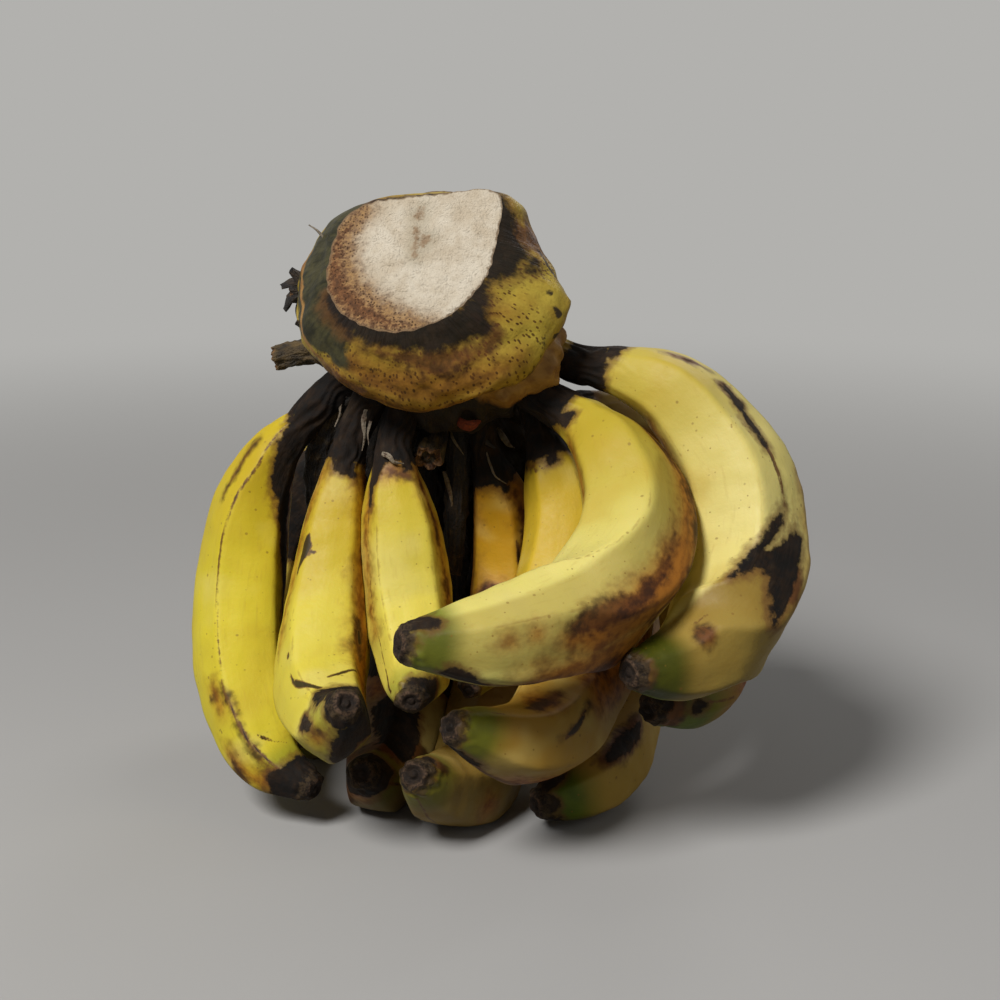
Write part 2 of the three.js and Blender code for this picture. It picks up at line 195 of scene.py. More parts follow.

# Marks on the peel. Each is a run of (share of the length, angle round it in degrees, half its width in mm),
# with angle 0 on the inside of the bend.
#   charred   black dried skin with a ragged edge, and in some wide patches painted shade
#   scratch   thin black line or nick with a crisp edge
#   browned   brown bruise, soft at its edge, and in some wide soft runs painted shade
#   amber  orange brown: overripe skin in places, and painted shade on sides that face other fingers and on
#       undersides
#   shaded_face  painted shade: a face turned down from the light, browner and darker than the rest up to a
#       ridge
MARKS = {
    "hand1_banana1": {
        "charred": [
            [(0, 40, 9), (0.13, 35, 7), (0.2, 14, 6), (0.3, -8, 5), (0.45, -28, 4), (0.62, -30, 2)],
            [(0.978, -170, 5), (0.968, 150, 6.5), (0.965, 110, 7.5), (0.975, 77, 6), (0.98, 20, 4.5),
             (0.985, -60, 3)], [(1, 100, 7)],
        ],
        "scratch": [
            [(0.84, 60, 0.1), (0.855, 54, 0.8), (0.875, 40, 0.3), (0.9, 16, 0.15)],
            [(0.14, 92, 0.1), (0.24, 70, 0.4), (0.31, 81, 0.45), (0.42, 86, 0.35), (0.64, 82, 0.3),
             (0.74, 85, 0.4), (0.79, 80, 0.55), (0.84, 77, 0.6), (0.89, 71, 0.55), (0.94, 77, 0.3)],
            [(0.785, 128, 0.2), (0.8, 120, 0.5)], [(0.735, 112, 0.4)], [(0.73, 108, 0.3)],
        ],
        "browned": [
            [(0.21, 112, 0.8), (0.24, 110, 1.8), (0.29, 110, 1.6), (0.33, 112, 0.8)],
            [(0.72, 87, 0.6), (0.77, 83, 1.5), (0.84, 77, 1.3), (0.9, 82, 1.6), (0.93, 80, 0.8)],
            [(0.86, 136, 1.1), (0.885, 138, 1.2)], [(0.735, 116, 0.5)],
        ],
        "amber": [
            [(0.2, -10, 6), (0.5, -34, 6), (0.85, -34, 4)], [(0.84, 128, 1.5), (0.93, 118, 3)],
            [(0.72, 106, 1), (0.76, 100, 1)],
        ],
    },
    "hand1_banana2": {
        "charred": [
            [(0.915, 27, 5), (0.905, 0, 10.5), (0.89, -30, 11), (0.86, -60, 8)],
            [(0.17, 10, 3.5), (0.19, -10, 1)],
            # Painted shade: black low on the blossom end's far side, where the underside lies in shade.
            [(0.94, -100, 8), (0.94, -140, 7), (0.92, -158, 5), (0.88, -160, 4)],
            [(0.862, 95, 0.8), (0.877, 101, 1.5), (0.895, 108, 1.2)],
        ],
        "scratch": [
            [(0.345, 56, 0.6), (0.37, 57, 2), (0.395, 60, 1.9), (0.42, 64, 1.2), (0.445, 67, 0.5)],
            [(0.388, 50, 0.8), (0.386, 42, 0.6)], [(0.645, 62, 0.4), (0.658, 60, 1)],
            [(0.7, 62, 0.2), (0.735, 60, 0.7), (0.762, 55, 1.3), (0.8, 43, 1.1), (0.829, 33, 1)],
            [(0.774, 13, 0.5), (0.755, -7, 0.9), (0.72, -33, 0.5)], [(0.72, 20, 0.15), (0.715, 0, 0.2)],
            [(0.575, -33, 1), (0.6, -38, 1.4)],
        ],
        "browned": [
            [(0.55, -28, 1.4), (0.6, -30, 3.2), (0.63, -42, 2)], [(0.87, 94, 2.4)], [(0.92, 128, 0.6)],
            # Painted shade: the wide brown low on the blossom end's far side.
            [(0.92, -100, 6), (0.9, -140, 6)],
        ],
        "amber": [
            [(0.2, -58, 4), (0.4, -46, 4), (0.5, -44, 5), (0.62, -46, 7), (0.75, -62, 7)], [(0.9, 140, 2)],
            [(0.2, 84, 1), (0.6, 92, 1.4)],
        ],
    },
    "hand1_banana3": {
        "charred": [
            [(0.19, 48, 3.5), (0.25, 58, 2.2), (0.3, 62, 0.8)], [(0.2, -30, 2)],
            [(0.985, -20, 3), (0.965, -72, 3.5), (0.97, -120, 3)],
        ],
        "scratch": [
            [(0.29, 64, 0.2), (0.5, 63, 0.2), (0.75, 68, 0.2), (0.85, 76, 0.3), (0.95, 90, 0.6)],
            [(0.23, 10, 0.3)],
        ],
        "browned": [
            [(0.22, 10, 1.4), (0.235, -25, 1)], [(0.25, -60, 0.8), (0.45, -64, 1), (0.6, -68, 1)],
            [(0.94, -80, 3)],
        ],
        "amber": [
            [(0.22, -60, 3), (0.45, -68, 3.5), (0.8, -74, 4)], [(0.3, 72, 2), (0.7, 76, 2)],
            [(0.2, 0, 3), (0.22, 30, 2)],
        ],
    },
    "hand1_banana4": {
        "charred": [[(0.26, -46, 2)], [(0.24, 60, 4)]],
        "scratch": [[(0.43, -44, 0.5), (0.5, -46, 1.1), (0.56, -46, 0.3)]],
        "browned": [[(0.3, -66, 2), (0.5, -70, 2.4), (0.75, -70, 3)], [(0.64, 0, 5), (0.8, 0, 9)]],
        "amber": [
            [(0.28, 50, 2), (0.4, 64, 3), (0.7, 60, 4)], [(0.3, -86, 5), (0.7, -90, 6)], [(0.66, 0, 6)],
        ],
    },
    "hand1_banana5": {
        "charred": [[(0.25, 30, 1.2)], [(0.24, -50, 2)]],
        "scratch": [[(0.245, -4, 0.3), (0.275, -14, 0.4)], [(0.25, -18, 0.2), (0.27, -28, 0.3)]],
        "browned": [[(0.24, 20, 1.4), (0.25, -10, 1)]],
        "amber": [[(0.5, 84, 1), (0.7, 60, 2)]],
    },
    "hand1_banana6": {
        "charred": [
            [(0.865, 160, 2), (0.89, 168, 3.4), (0.92, 172, 2.6)], [(0.15, -30, 2.4), (0.16, -50, 1)],
            [(0.985, -56, 3.4), (0.965, -62, 3), (0.95, -74, 2)],
        ],
        "scratch": [[(0.86, 150, 0.5), (0.75, 152, 0.4), (0.66, 152, 0.4), (0.6, 150, 0.2)]],
        "browned": [
            [(0.725, -125, 1.6), (0.7, -127, 4), (0.66, -126, 4.8), (0.625, -129, 4), (0.595, -131, 2.2),
             (0.55, -132, 1.8), (0.5, -130, 1.2)], [(0.57, -124, 0.8), (0.5, -126, 0.6)],
            [(0.4, -128, 0.6), (0.46, -126, 0.8), (0.52, -128, 0.6)],
            # Painted shade: brown along the underside.
            [(0.87, 160, 2), (0.75, 164, 2), (0.64, 166, 2.4)],
            [(0.22, -122, 1), (0.28, -140, 1.6), (0.34, -152, 2), (0.42, -158, 2), (0.5, -162, 2),
             (0.58, -166, 2)],
        ],
        "amber": [
            [(0.26, -140, 1.5), (0.34, -150, 4), (0.42, -146, 6), (0.5, -142, 8), (0.58, -144, 9),
             (0.68, -146, 7), (0.73, -140, 3)], [(0.2, 12, 2.5), (0.3, 14, 3.5), (0.4, 10, 2.5)],
            [(0.62, 176, 9), (0.78, 172, 7)], [(0.834, -125, 0.4)], [(0.788, -123, 1.2)],
        ],
        # Painted shade on the faces turned down from the light, below the lower ridge.
        "shaded_face": [
            [(0.36, -124, 8), (0.5, -118, 12), (0.6, -114, 13), (0.7, -116, 13), (0.8, -118, 12),
             (0.88, -120, 10), (0.94, -124, 8)],
        ],
    },
    "hand1_banana7": {
        "charred": [
            [(0.262, -126, 0.6), (0.278, -132, 0.8)],
            [(0.345, -134, 0.7), (0.38, -127, 1.8), (0.41, -120, 1.5), (0.46, -117, 1.1)],
            [(0.565, -114, 1), (0.6, -102, 1.6), (0.64, -88, 2.2), (0.68, -83, 2.6), (0.725, -76, 1)],
            [(0.605, -142, 2.5), (0.635, -126, 5), (0.658, -106, 4.6), (0.666, -94, 2.6)],
            [(0.655, -126, 5.5), (0.69, -128, 4.6), (0.72, -133, 3), (0.75, -138, 1)],
            [(0.172, -100, 2.4), (0.18, -160, 3)], [(0.16, 60, 3), (0.17, 120, 3)],
        ],
        "scratch": [
            [(0.46, -117, 0.9), (0.51, -118, 0.8), (0.55, -119, 0.3)],
            [(0.86, -70, 0.3), (0.82, -76, 0.3)], [(0.43, -104, 0.25), (0.445, -101, 0.25)],
        ],
        "browned": [
            [(0.25, -120, 0.6), (0.262, -124, 2), (0.276, -130, 2.2), (0.29, -140, 1.2),
             (0.31, -144, 0.5)], [(0.34, -136, 1), (0.36, -129, 1.4)],
            [(0.5, -121, 0.5), (0.55, -119, 0.4)], [(0.866, -94, 4.2)],
            [(0.69, -140, 3.4), (0.66, -142, 3)],
        ],
        "amber": [
            [(0.01, 0, 20), (0.06, 0, 6)], [(0.52, -168, 3), (0.7, -168, 4)], [(0.3, 20, 3), (0.6, 10, 3)],
        ],
        # Painted shade on the faces turned down from the light.
        "shaded_face": [
            [(0.66, -122, 5), (0.725, -106, 11), (0.76, -102, 12.5), (0.8, -100, 13.5), (0.83, -96, 13.5),
             (0.91, -88, 13.5), (0.96, -90, 12), (1, -90, 10)],
            [(0.7, -146, 6), (0.78, -155, 11), (0.9, -155, 10), (0.97, -160, 8)],
        ],
    },
    # On hand 2, which lies under and behind hand 1, the wide black, brown and orange marks are partly painted
    # shade.
    "hand2_banana1": {
        "charred": [[(0.925, -132, 1.6), (0.932, -138, 1.2)], [(0.99, -90, 5)], [(0.96, 60, 7)]],
        "scratch": [[(0.91, -128, 0.4), (0.87, -140, 0.3)]],
        "browned": [[(0.97, -100, 4), (0.97, -170, 4)]],
        "amber": [[(0.5, -130, 8), (0.85, -150, 4)], [(0.3, 0, 6), (0.6, 0, 6)]],
    },
    "hand2_banana2": {
        "charred": [[(0.98, 150, 1.5), (0.92, 156, 0.8)]],
        "scratch": [
            [(0.73, -87, 0.3), (0.745, -92, 0.9), (0.78, -101, 1.3), (0.807, -106, 0.6)],
            [(0.98, 150, 0.6), (0.9, 152, 0.6), (0.82, 150, 0.3)], [(0.94, -60, 0.3), (0.92, -66, 0.3)],
        ],
        "browned": [
            [(0.72, -86, 0.6), (0.82, -107, 0.5)], [(0.5, -60, 10), (0.62, -60, 7)],
            [(0.96, 150, 1), (0.84, 150, 1)], [(0.76, -48, 3), (0.84, -46, 2)],
        ],
        "amber": [[(0.5, -100, 14), (0.66, -90, 7)], [(0.6, 180, 9), (0.85, 160, 4)], [(0.8, -40, 5)]],
    },
    "hand2_banana3": {
        "charred": [
            [(0.73, -79, 1.6), (0.77, -74, 2.5), (0.82, -67, 2.7), (0.865, -62, 1.4)],
            [(0.965, 0, 7), (0.975, 180, 4)], [(0.985, -100, 3)],
        ],
        "browned": [[(0.72, -77, 3), (0.8, -69, 4.4), (0.87, -61, 3)], [(0.54, -62, 6), (0.6, -58, 8)]],
        "amber": [[(0.5, -100, 10), (0.6, -90, 6)]],
    },
    "hand2_banana4": {
        "charred": [[(0.975, -20, 2)], [(0.7, -60, 10)]],
        "scratch": [[(0.97, 178, 0.3), (0.9, 172, 0.4), (0.85, 170, 0.2)]],
        "browned": [[(0.96, -60, 2)], [(0.8, -40, 6)], [(0.9, 60, 5)]],
        "amber": [[(0.8, -120, 3)], [(0.8, 90, 6)]],
    },
    "hand2_banana5": {
        "charred": [[(0.97, 60, 4), (0.96, 130, 3)], [(0.68, 0, 9), (0.85, -20, 7)]],
        "scratch": [[(0.95, -100, 0.5), (0.9, -92, 0.5)]],
        "browned": [[(0.88, 0, 8), (0.9, 120, 6)], [(0.8, -60, 6)]],
        "amber": [[(0.46, 60, 5), (0.58, 34, 6)], [(0.95, 160, 4)]],
    },
    "hand2_banana6": {
        "charred": [[(0.6, -60, 8), (0.8, -50, 6)]],
        "browned": [[(0.85, -60, 8)]],
        "amber": [[(0.95, -60, 6)]],
    },
}
KINDS = ("charred", "scratch", "browned", "amber", "shaded_face")
# The marks of the unseen sides: their kind, how many there are and about half their width in mm.
STRAY_MARKS = [("scratch", 3, 0.6), ("browned", 4, 1.8), ("charred", 1, 1.8), ("amber", 2, 5)]
MARK_LIMIT = 12  # mm beyond which the distance to a mark makes no odds

# ---- Stalk: shapes and marks -------------------------------------------------------------------------

CUT_CENTRE = np.array([-28, -48, 199])  # middle of the sawn face
CUT_RADIUS = 26.5
# The sawn face is a half round whose back is nearly flat and lies further back on the right. Each corner
# follows a rounded square: how far the face reaches across and back there, and the square's power.
CUT_CORNERS = {
    "front": {"left": (29, 26.6, 1.8), "right": (26.5, 26.6, 2.1)},
    "back": {"left": (29, 25.6, 4.8), "right": (26.5, 25.6, 7)},
}
CUT_SLANT = 0.148  # how much further back the back edge is for each mm to the right
STALK_LEAN = math.radians(15)  # to the left of the viewer
STALK_RISE = math.radians(38)  # above level
STALK_SIDES = 200  # 1.3 mm apart round the lip
ROWS_PER_LEVEL = 9
CUT_RINGS = 56
RIM_RAGGED = 0.28  # mm by which the saw has torn the edge
RIM_DEPTH = 4  # mm below the cut to which that shows
RIM_NOISE_RADIUS, RIM_NOISE_SIZE = 26, 4  # mm
# Depths between which the lip's unevenness comes and goes, and the rind turns to dried folds.
LIP_FROM, LIP_TO, DRIED_FROM = (14, 24), (34, 27), (29, 38)
LIP_SIZE, LIP_RISE = 20, 1.2  # mm, of the lip's ups and downs
STALK_FOLDS, STALK_FOLD_RISE = 15, 0.9  # how many go round the dried neck, and mm
UNROLLED_RADIUS = 36  # mm round which the rind's patterns are laid
# Swells of the rind and grain of the sawn face: the size and rise of each in mm, and its seed.
RIND_SWELLS = [(22, 0.5, 1), (7, 0.25, 2)]
SAWN_GRAIN = [(9, 0.3, 8), (2.6, 0.14, 9)]
SHOULDER = 0.2  # share of the radius by which the lip falls short at its back right
LIP_RIGHT = 0.8  # how many mm the lip's middle lies to the right of the sawn face's
# Where the neck swells out under the lip to carry the two right fingers of hand 1, in degrees and mm.
JOINT = {"angle": -19, "angle_spread": 27, "depth": 41, "depth_spread": 9.5, "swell": 12}
# Depth below the sawn face, radius there, how far the outline has gone from the sawn face's to round, and
# how much wider than deep it is. The lip below the sawn face overhangs the neck that carries hand 1.
STALK_LEVELS = [
    (0, 26.5, 0, 1), (2, 28.5, 0.05, 1.04), (8, 33, 0.25, 1.12), (15, 37.5, 0.55, 1.16),
    (21, 40.5, 0.85, 1.15), (25, 41, 1, 1.12), (28, 39.5, 1, 1.09), (31, 34, 1, 1.07), (36, 30, 1, 1.06),
    (44, 33, 1, 1.04), (52, 34.5, 1, 1), (62, 31, 1, 1), (72, 25, 1, 1), (84, 27, 1, 1), (98, 28.5, 1, 1),
    (110, 28, 1, 1), (120, 25, 1, 1), (127, 21, 1, 1), (131, 19.5, 1, 1),
]
LAST_DEPTH = STALK_LEVELS[-1][0]

# Marks on the stalk, as on the fingers but with the depth in mm below the sawn face in place of the share,
# and angle 0 to the viewer's right, 90 at the back. On the sawn face the first two are (across, back) in mm.
STALK_MARKS = {
    "charred": [
        # The first two runs, just under the sawn rim, are partly bruised rind and partly painted shadow under
        # the cut's edge.
        [(0, -150, 2), (0, -120, 3), (0.5, -95, 3.4), (1, -75, 4.2), (2.5, -58, 5.4), (3.5, -44, 5),
         (1, -32, 2.4), (0, -18, 1.4)],
        [(0, -10, 2.4), (2, 2, 4), (3, 14, 5), (2, 28, 3.6), (0, 44, 1.6), (0, 128, 1.2)],
        [(8, 6, 2), (9, 12, 1.6)], [(27, -150, 3), (26, -128, 2), (27, -110, 1)],
    ],
    "scratch": [
        [(12, 22, 0.5), (14, 15, 0.8), (17, 9, 0.5)], [(17, -9, 0.9), (18.5, -10, 1.3)], [(14, -3, 0.9)],
        [(22, -26, 0.5), (20, -24, 0.7)], [(12, 3, 0.4)], [(24, -18, 1), (26, -14, 0.8)],
    ],
    "browned": [
        [(5, -104, 0.8), (7, -86, 2), (9.5, -78, 3), (10, -64, 2.4), (12, -50, 2), (10, -38, 1.4)],
        [(6, 26, 3), (11, 36, 3), (16, 30, 2)], [(19, -122, 2.6), (22, -112, 2)],
        [(22, -140, 1.2), (24, -110, 1.2), (25.5, -80, 0.8), (26, -50, 0.9), (25.5, -20, 1),
         (24, 20, 1.5)], [(20, 60, 5), (15, 100, 5)],
    ],
    "amber": [
        [(11, -118, 3), (15, -100, 5), (17, -80, 6), (18, -55, 4), (18, -38, 1)],
        [(20, -124, 5), (24, -100, 4), (25, -60, 3)], [(13, 24, 3), (20, 44, 6), (24, 70, 8)],
        [(5, -34, 1), (7, -26, 1)],
    ],
    "green": [[(0, 124, 2), (3, 150, 6), (6, 180, 8.5), (7, 210, 9), (6, 228, 7), (12, 236, 3)]],
    "tan": [
        [(12, 165, 0.9), (10.5, 188, 0.8), (10.5, 200, 0.8), (12.5, 209, 0.9), (15.5, 218, 0.9),
         (18, 225, 1), (21, 233, 1)],
        [(33, -66, 2), (40, -52, 6), (42, -30, 10), (42, -10, 11), (40, 12, 8)],
        [(52, -76, 1.5), (53, -70, 1)],
    ],
}
CUT_MARKS = {
    "browned": [
        [(-22, 19, 2), (-27, 9, 3.5), (-27, -2, 5), (-24, -11, 6), (-15, -19, 6), (-4, -24, 4),
         (8, -25, 1.5)],
    ],
    "spots": [
        [(-1.5, 17.5, 1.1), (-1, 19.5, 0.6)], [(2.5, 8, 1.2), (1.5, 6.5, 0.8)],
        [(-1, 12, 0.3), (0, 2, 0.2)],
    ],
}

# Pedicels whose fingers are gone: the radii, the centreline, how faded to brown bark each is at its root
# and at its end, and how torn its end is.
STUBS = {
    "broken_pedicel_left": (
        [6.5, 5.2, 4.4, 4.2], [(-52, -8, 161), (-63, -5, 163), (-71, -4, 162), (-80, -4, 160)],
        -0.2, 1.3, 0.3,
    ),
    "dried_pedicel_left": (
        [6, 5, 3.5], [(-55, -19, 184), (-66, -20, 186), (-72, -21, 186)], -1, -0.6, 0,
    ),
    "torn_pedicel_front": (
        [6, 5.2, 4.8], [(-22, -10, 142), (-24, -20, 134), (-25, -29, 129)], -1, 0.6, 0.9,
    ),
    "withered_pedicel_front": (
        [5, 4.4, 4, 2.6], [(-15, -8, 142), (-15, -12, 122), (-16, -11, 102), (-17, -9, 82)], -1, 0, 0,
    ),
    "withered_pedicel_left": (
        [6.5, 6, 5, 3], [(-38, -5, 152), (-56, -8, 144), (-65, -4, 124), (-68, 0, 100)], 0.3, 0, -1,
    ),
    "withered_pedicel_back": (
        [6, 5.5, 4], [(-36, -6, 150), (-42, -4, 132), (-44, 0, 112)], -1, -1, -1,
    ),
}

STUB_SIDES, SHRED_SIDES, STUB_ROWS_PER_STOP = 48, 14, 8
STUB_FOLDS = 7  # how many go round a stub
SHRED_FLATNESS = 0.45  # how thick a shred is for its width
# How a stub's end closes: mm past its end, and the radius there as a share of its last one.
STUB_RIM = [(0.4, 0.92), (0.1, 0.7), (-0.6, 0.4), (-0.2, 0.15)]
TUBE_END = 0.02  # mm, the radius at which a tube counts as closed

# Shreds of dried skin and fibre on the crown, and dark pieces of painted shade between the fingers: how torn
# and how rusty they are, and the radii and the centreline of each.
SHREDS = {
    "pale_shred": (1.6, 0, [
        ([0.8, 0.9, 0.5, 0.2], [
            (-46, -27.5, 146), (-47, -28.7, 141), (-46.6, -29, 137), (-47.6, -28.5, 132)]),
        ([0.9, 0.6, 0.2], [(-44.6, -28, 142), (-45.6, -28.8, 138), (-45.4, -28.6, 134)]),
        ([1, 0.8, 0.4, 0.2], [(-54, -13.5, 150), (-56, -15, 146), (-56.4, -15.6, 142), (-58, -16, 138)]),
        ([0.8, 1, 0.6, 0.2], [(-40, -39, 133), (-37.6, -41, 132.4), (-36, -41.4, 130.6), (-33, -41, 130)]),
        ([0.5, 0.6, 0.2], [(-18, -14, 138), (-16.6, -16.5, 133.5), (-13, -17, 128)]),
        ([0.7, 0.9, 0.6, 0.2], [(-20, -14, 121), (-18.6, -16, 117), (-17.4, -16.4, 112), (-17, -15, 107)]),
        ([0.6, 1.1, 0.9, 0.2], [(-1, -10.5, 136), (1, -12.4, 133.4), (3, -12.6, 130.4), (5, -11, 129)]),
        ([0.3, 0.5, 0.4, 0.2], [(-5, -19, 130), (-3.4, -21, 125), (-1.6, -21.6, 121), (2, -20, 118)]),
        ([1.3, 1.2, 0.9, 0.5], [(-57, -26, 202), (-59.4, -26, 204.6), (-61.6, -26, 207), (-64, -26, 208.6)]),
    ]),
    "dark_shred_and_shade": (-1.4, 0, [
        ([3.4, 3.6, 2], [(-64, -20, 187), (-68, -21, 190), (-71, -22, 193)]),
        ([3.4, 3.4, 1.8], [(-65, -20, 185), (-68.5, -21, 180), (-68.5, -22, 175)]),
        ([3, 3.2, 1.6], [(-66, -21, 186), (-70.5, -22, 184.6), (-73.4, -22, 180)]),
        ([2.6, 2.4, 1.4], [(-66, -21, 189), (-71, -22, 189), (-74.4, -22, 187.6)]),
        ([2.8, 2.6, 1.2], [(-58, -34, 174), (-64, -35, 175.5), (-68, -35, 177)]),
        ([2, 1.6, 0.5], [(-9, -16, 139), (-6, -20, 134), (-2, -21, 131)]),
        ([2.2, 1.5, 0.5], [(10, -14, 138), (12, -20, 132), (16, -22, 128)]),
        # The last three are thick dark pieces deep between the fingers: painted shade that fills the gaps
        # behind the front ones.
        ([7, 8, 7, 3], [(-30, -2, 142), (-31, 2, 128), (-29, 4, 112), (-28, 6, 96)]),
        ([6, 7, 6, 3], [(-44, -2, 134), (-49, 2, 114), (-52, 2, 96), (-54, 2, 76)]),
        ([6, 7, 6, 3], [(-18, 0, 96), (-19, 2, 80), (-19, 2, 66), (-19, 0, 54)]),
    ]),
    "rusty_shred": (-1.4, 0.95, [
        ([1, 2, 2.1, 1], [
            (-15.5, -31.5, 143.6), (-13, -34.5, 142.4), (-9.8, -35, 141.8), (-7, -31.5, 142.6)]),
    ]),
}

# ---- Making meshes -----------------------------------------------------------------------------------


def unit(vectors):
    return vectors / np.linalg.norm(vectors, axis=-1, keepdims=True)


def smooth_curve(stops, steps):
    """A smooth curve through the stops, with that many steps between each two."""
    stops = np.array(stops, float)
    padded = np.vstack([2 * stops[0] - stops[1], stops, 2 * stops[-1] - stops[-2]])
    share = np.linspace(0, 1, steps, endpoint=False)[:, None]
    runs = []
    for before, start, end, after in zip(padded, padded[1:], padded[2:], padded[3:]):
        gap_in, gap, gap_out = (
            np.linalg.norm(b - a) ** 0.5 for a, b in ((before, start), (start, end), (end, after))
        )
        leave = gap * ((start - before) / gap_in - (end - before) / (gap_in + gap)) + end - start
        arrive = end - start - gap * ((after - start) / (gap + gap_out) - (after - end) / gap_out)
        runs.append(
            (2 * share**3 - 3 * share**2 + 1) * start + (share**3 - 2 * share**2 + share) * leave
            + (3 * share**2 - 2 * share**3) * end + (share**3 - share**2) * arrive
        )
    return np.vstack([*runs, stops[-1:]])


def smoothstep(low, high, value):
    t = np.clip((value - low) / (high - low), 0, 1)
    return t * t * (3 - 2 * t)


SWELL_WAVES = 20


def swell(points, size, seed):
    """A smooth random field over the points, mostly between -1 and 1, with bumps about that many mm apart."""
    dice = np.random.default_rng(seed)
    ways = unit(dice.normal(size=(SWELL_WAVES, 3))).T
    waves = ways * dice.uniform(0.7, 1.4, SWELL_WAVES) * math.tau / size
    phases = dice.uniform(0, math.tau, SWELL_WAVES)
    return np.sin(points @ waves + phases).sum(-1) / math.sqrt(SWELL_WAVES)


class Bend:
    """The centreline of a bent piece, and at each share of its length the ways out to its inside and side."""

    STEPS_PER_STOP, STEPS = 60, 601

    def __init__(self, line):
        curve = smooth_curve(np.array(line, float) + TO_ORIGIN, self.STEPS_PER_STOP)
        gone = np.concatenate([[0], np.cumsum(np.linalg.norm(np.diff(curve, axis=0), axis=1))])
        self.length = gone[-1]
        self.even = np.linspace(0, 1, self.STEPS)
        self.middle = np.stack([np.interp(self.even, gone / gone[-1], curve[:, k]) for k in range(3)], 1)
        self.along = unit(np.gradient(self.middle, axis=0))
        start, half, end = self.middle[[0, self.STEPS // 2, -1]]
        self.inside = unit(np.cross(unit(np.cross(half - start, end - half)), self.along))
        self.side = np.cross(self.along, self.inside)

    def at(self, share):
        """The middle, along, inside and side vectors at each share. A share past the end runs straight on."""
        parts = (self.middle, self.along, self.inside, self.side)
        middle, along, inside, side = (
            np.stack([np.interp(share, self.even, part[:, k]) for k in range(3)], -1) for part in parts
        )
        over = np.maximum(share - 1, 0)[..., None] * self.length
        return middle + along * over, along, inside, side


def tube_faces(rows, around):
    """Quads from each row of points to the next, closed all round."""
    row, step = np.meshgrid(np.arange(rows - 1), np.arange(around), indexing="ij")
    here, beside = row * around + step, row * around + (step + 1) % around
    return np.stack([here, beside, beside + around, here + around], -1).reshape(-1, 4).tolist()


def turns_round(sides):
    return np.linspace(-math.pi, math.pi, sides, endpoint=False)


def swells(points, sizes, first_seed=0):
    """The sum of swells, each given by its size and rise in mm and its seed."""
    return sum(rise * swell(points, size, first_seed + seed) for size, rise, seed in sizes)


def mesh_piece(name, points, faces, fields, material):
    """A smooth-shaded object of points in mm, with each field kept on its points for the material to read."""
    mesh = bpy.data.meshes.new(name)
    mesh.from_pydata((points * MM).tolist(), [], faces)
    mesh.shade_smooth()
    for field, values in fields.items():
        single = values.ndim == 1
        layer = mesh.attributes.new(field, "FLOAT" if single else "FLOAT_VECTOR", "POINT")
        layer.data.foreach_set("value" if single else "vector", values.ravel())
    mesh.materials.append(material)
    piece = bpy.data.objects.new(name, mesh)
    bpy.context.scene.collection.objects.link(piece)
    return piece


def depth_in_marks(marks, place, shape):
    """How many mm each spot lies inside the nearest of the marks, below 0 outside them all. A mark is a run
    of (where, where across, half width), and place gives how far each spot lies from the start of a stretch
    of it and how far that stretch goes, in mm."""
    depth = np.full(shape, -float(MARK_LIMIT))
    for mark in marks:
        for (*start, half0), (*end, half1) in zip(mark, mark[1:] or mark):
            x, y, dx, dy = place(start, end)
            share = np.clip((x * dx + y * dy) / np.maximum(dx * dx + dy * dy, 1e-6), 0, 1)
            away = np.hypot(x - share * dx, y - share * dy)
            depth = np.maximum(depth, half0 + share * (half1 - half0) - away)
    return depth


def marks_round(marks, along, angle, reach):
    """The depth in marks given by mm along a piece and degrees round it."""

    def place(start, end):
        turn0, turn1 = math.radians(start[1]), math.radians(end[1])
        middle = (turn0 + turn1) / 2
        round_ = (angle - middle + math.pi) % math.tau - math.pi + middle - turn0
        return along - start[0], round_ * reach, end[0] - start[0], (turn1 - turn0) * reach

    return depth_in_marks(marks, place, reach.shape)


def marks_across(marks, across, back):
    """The depth in marks of the sawn face, given by mm across and back on it."""

    def place(start, end):
        return across - start[0], back - start[1], end[0] - start[0], end[1] - start[1]

    return depth_in_marks(marks, place, across.shape)


# ---- Materials ---------------------------------------------------------------------------------------


def hex_colour(text):
    """An sRGB hex colour as linear red, green, blue and alpha."""
    parts = (int(text[i : i + 2], 16) / 255 for i in (1, 3, 5))
    return (*(c / 12.92 if c <= 0.04045 else ((c + 0.055) / 1.055) ** 2.4 for c in parts), 1)


def add(tree, kind, inputs=(), out=0, **settings):
    """Adds a node with its settings, sets or links its inputs by name or number, and gives one output."""
    node = tree.nodes.new(kind)
    for setting, value in settings.items():
        setattr(node, setting, value)
    for key, value in dict(inputs).items():
        if isinstance(value, bpy.types.NodeSocket):
            tree.links.new(value, node.inputs[key])
        else:
            node.inputs[key].default_value = value
    return node.outputs[out] if node.outputs else None


def new_material(name):
    material = bpy.data.materials.new(name)
    material.use_nodes = True
    material.node_tree.nodes.clear()
    return material, material.node_tree


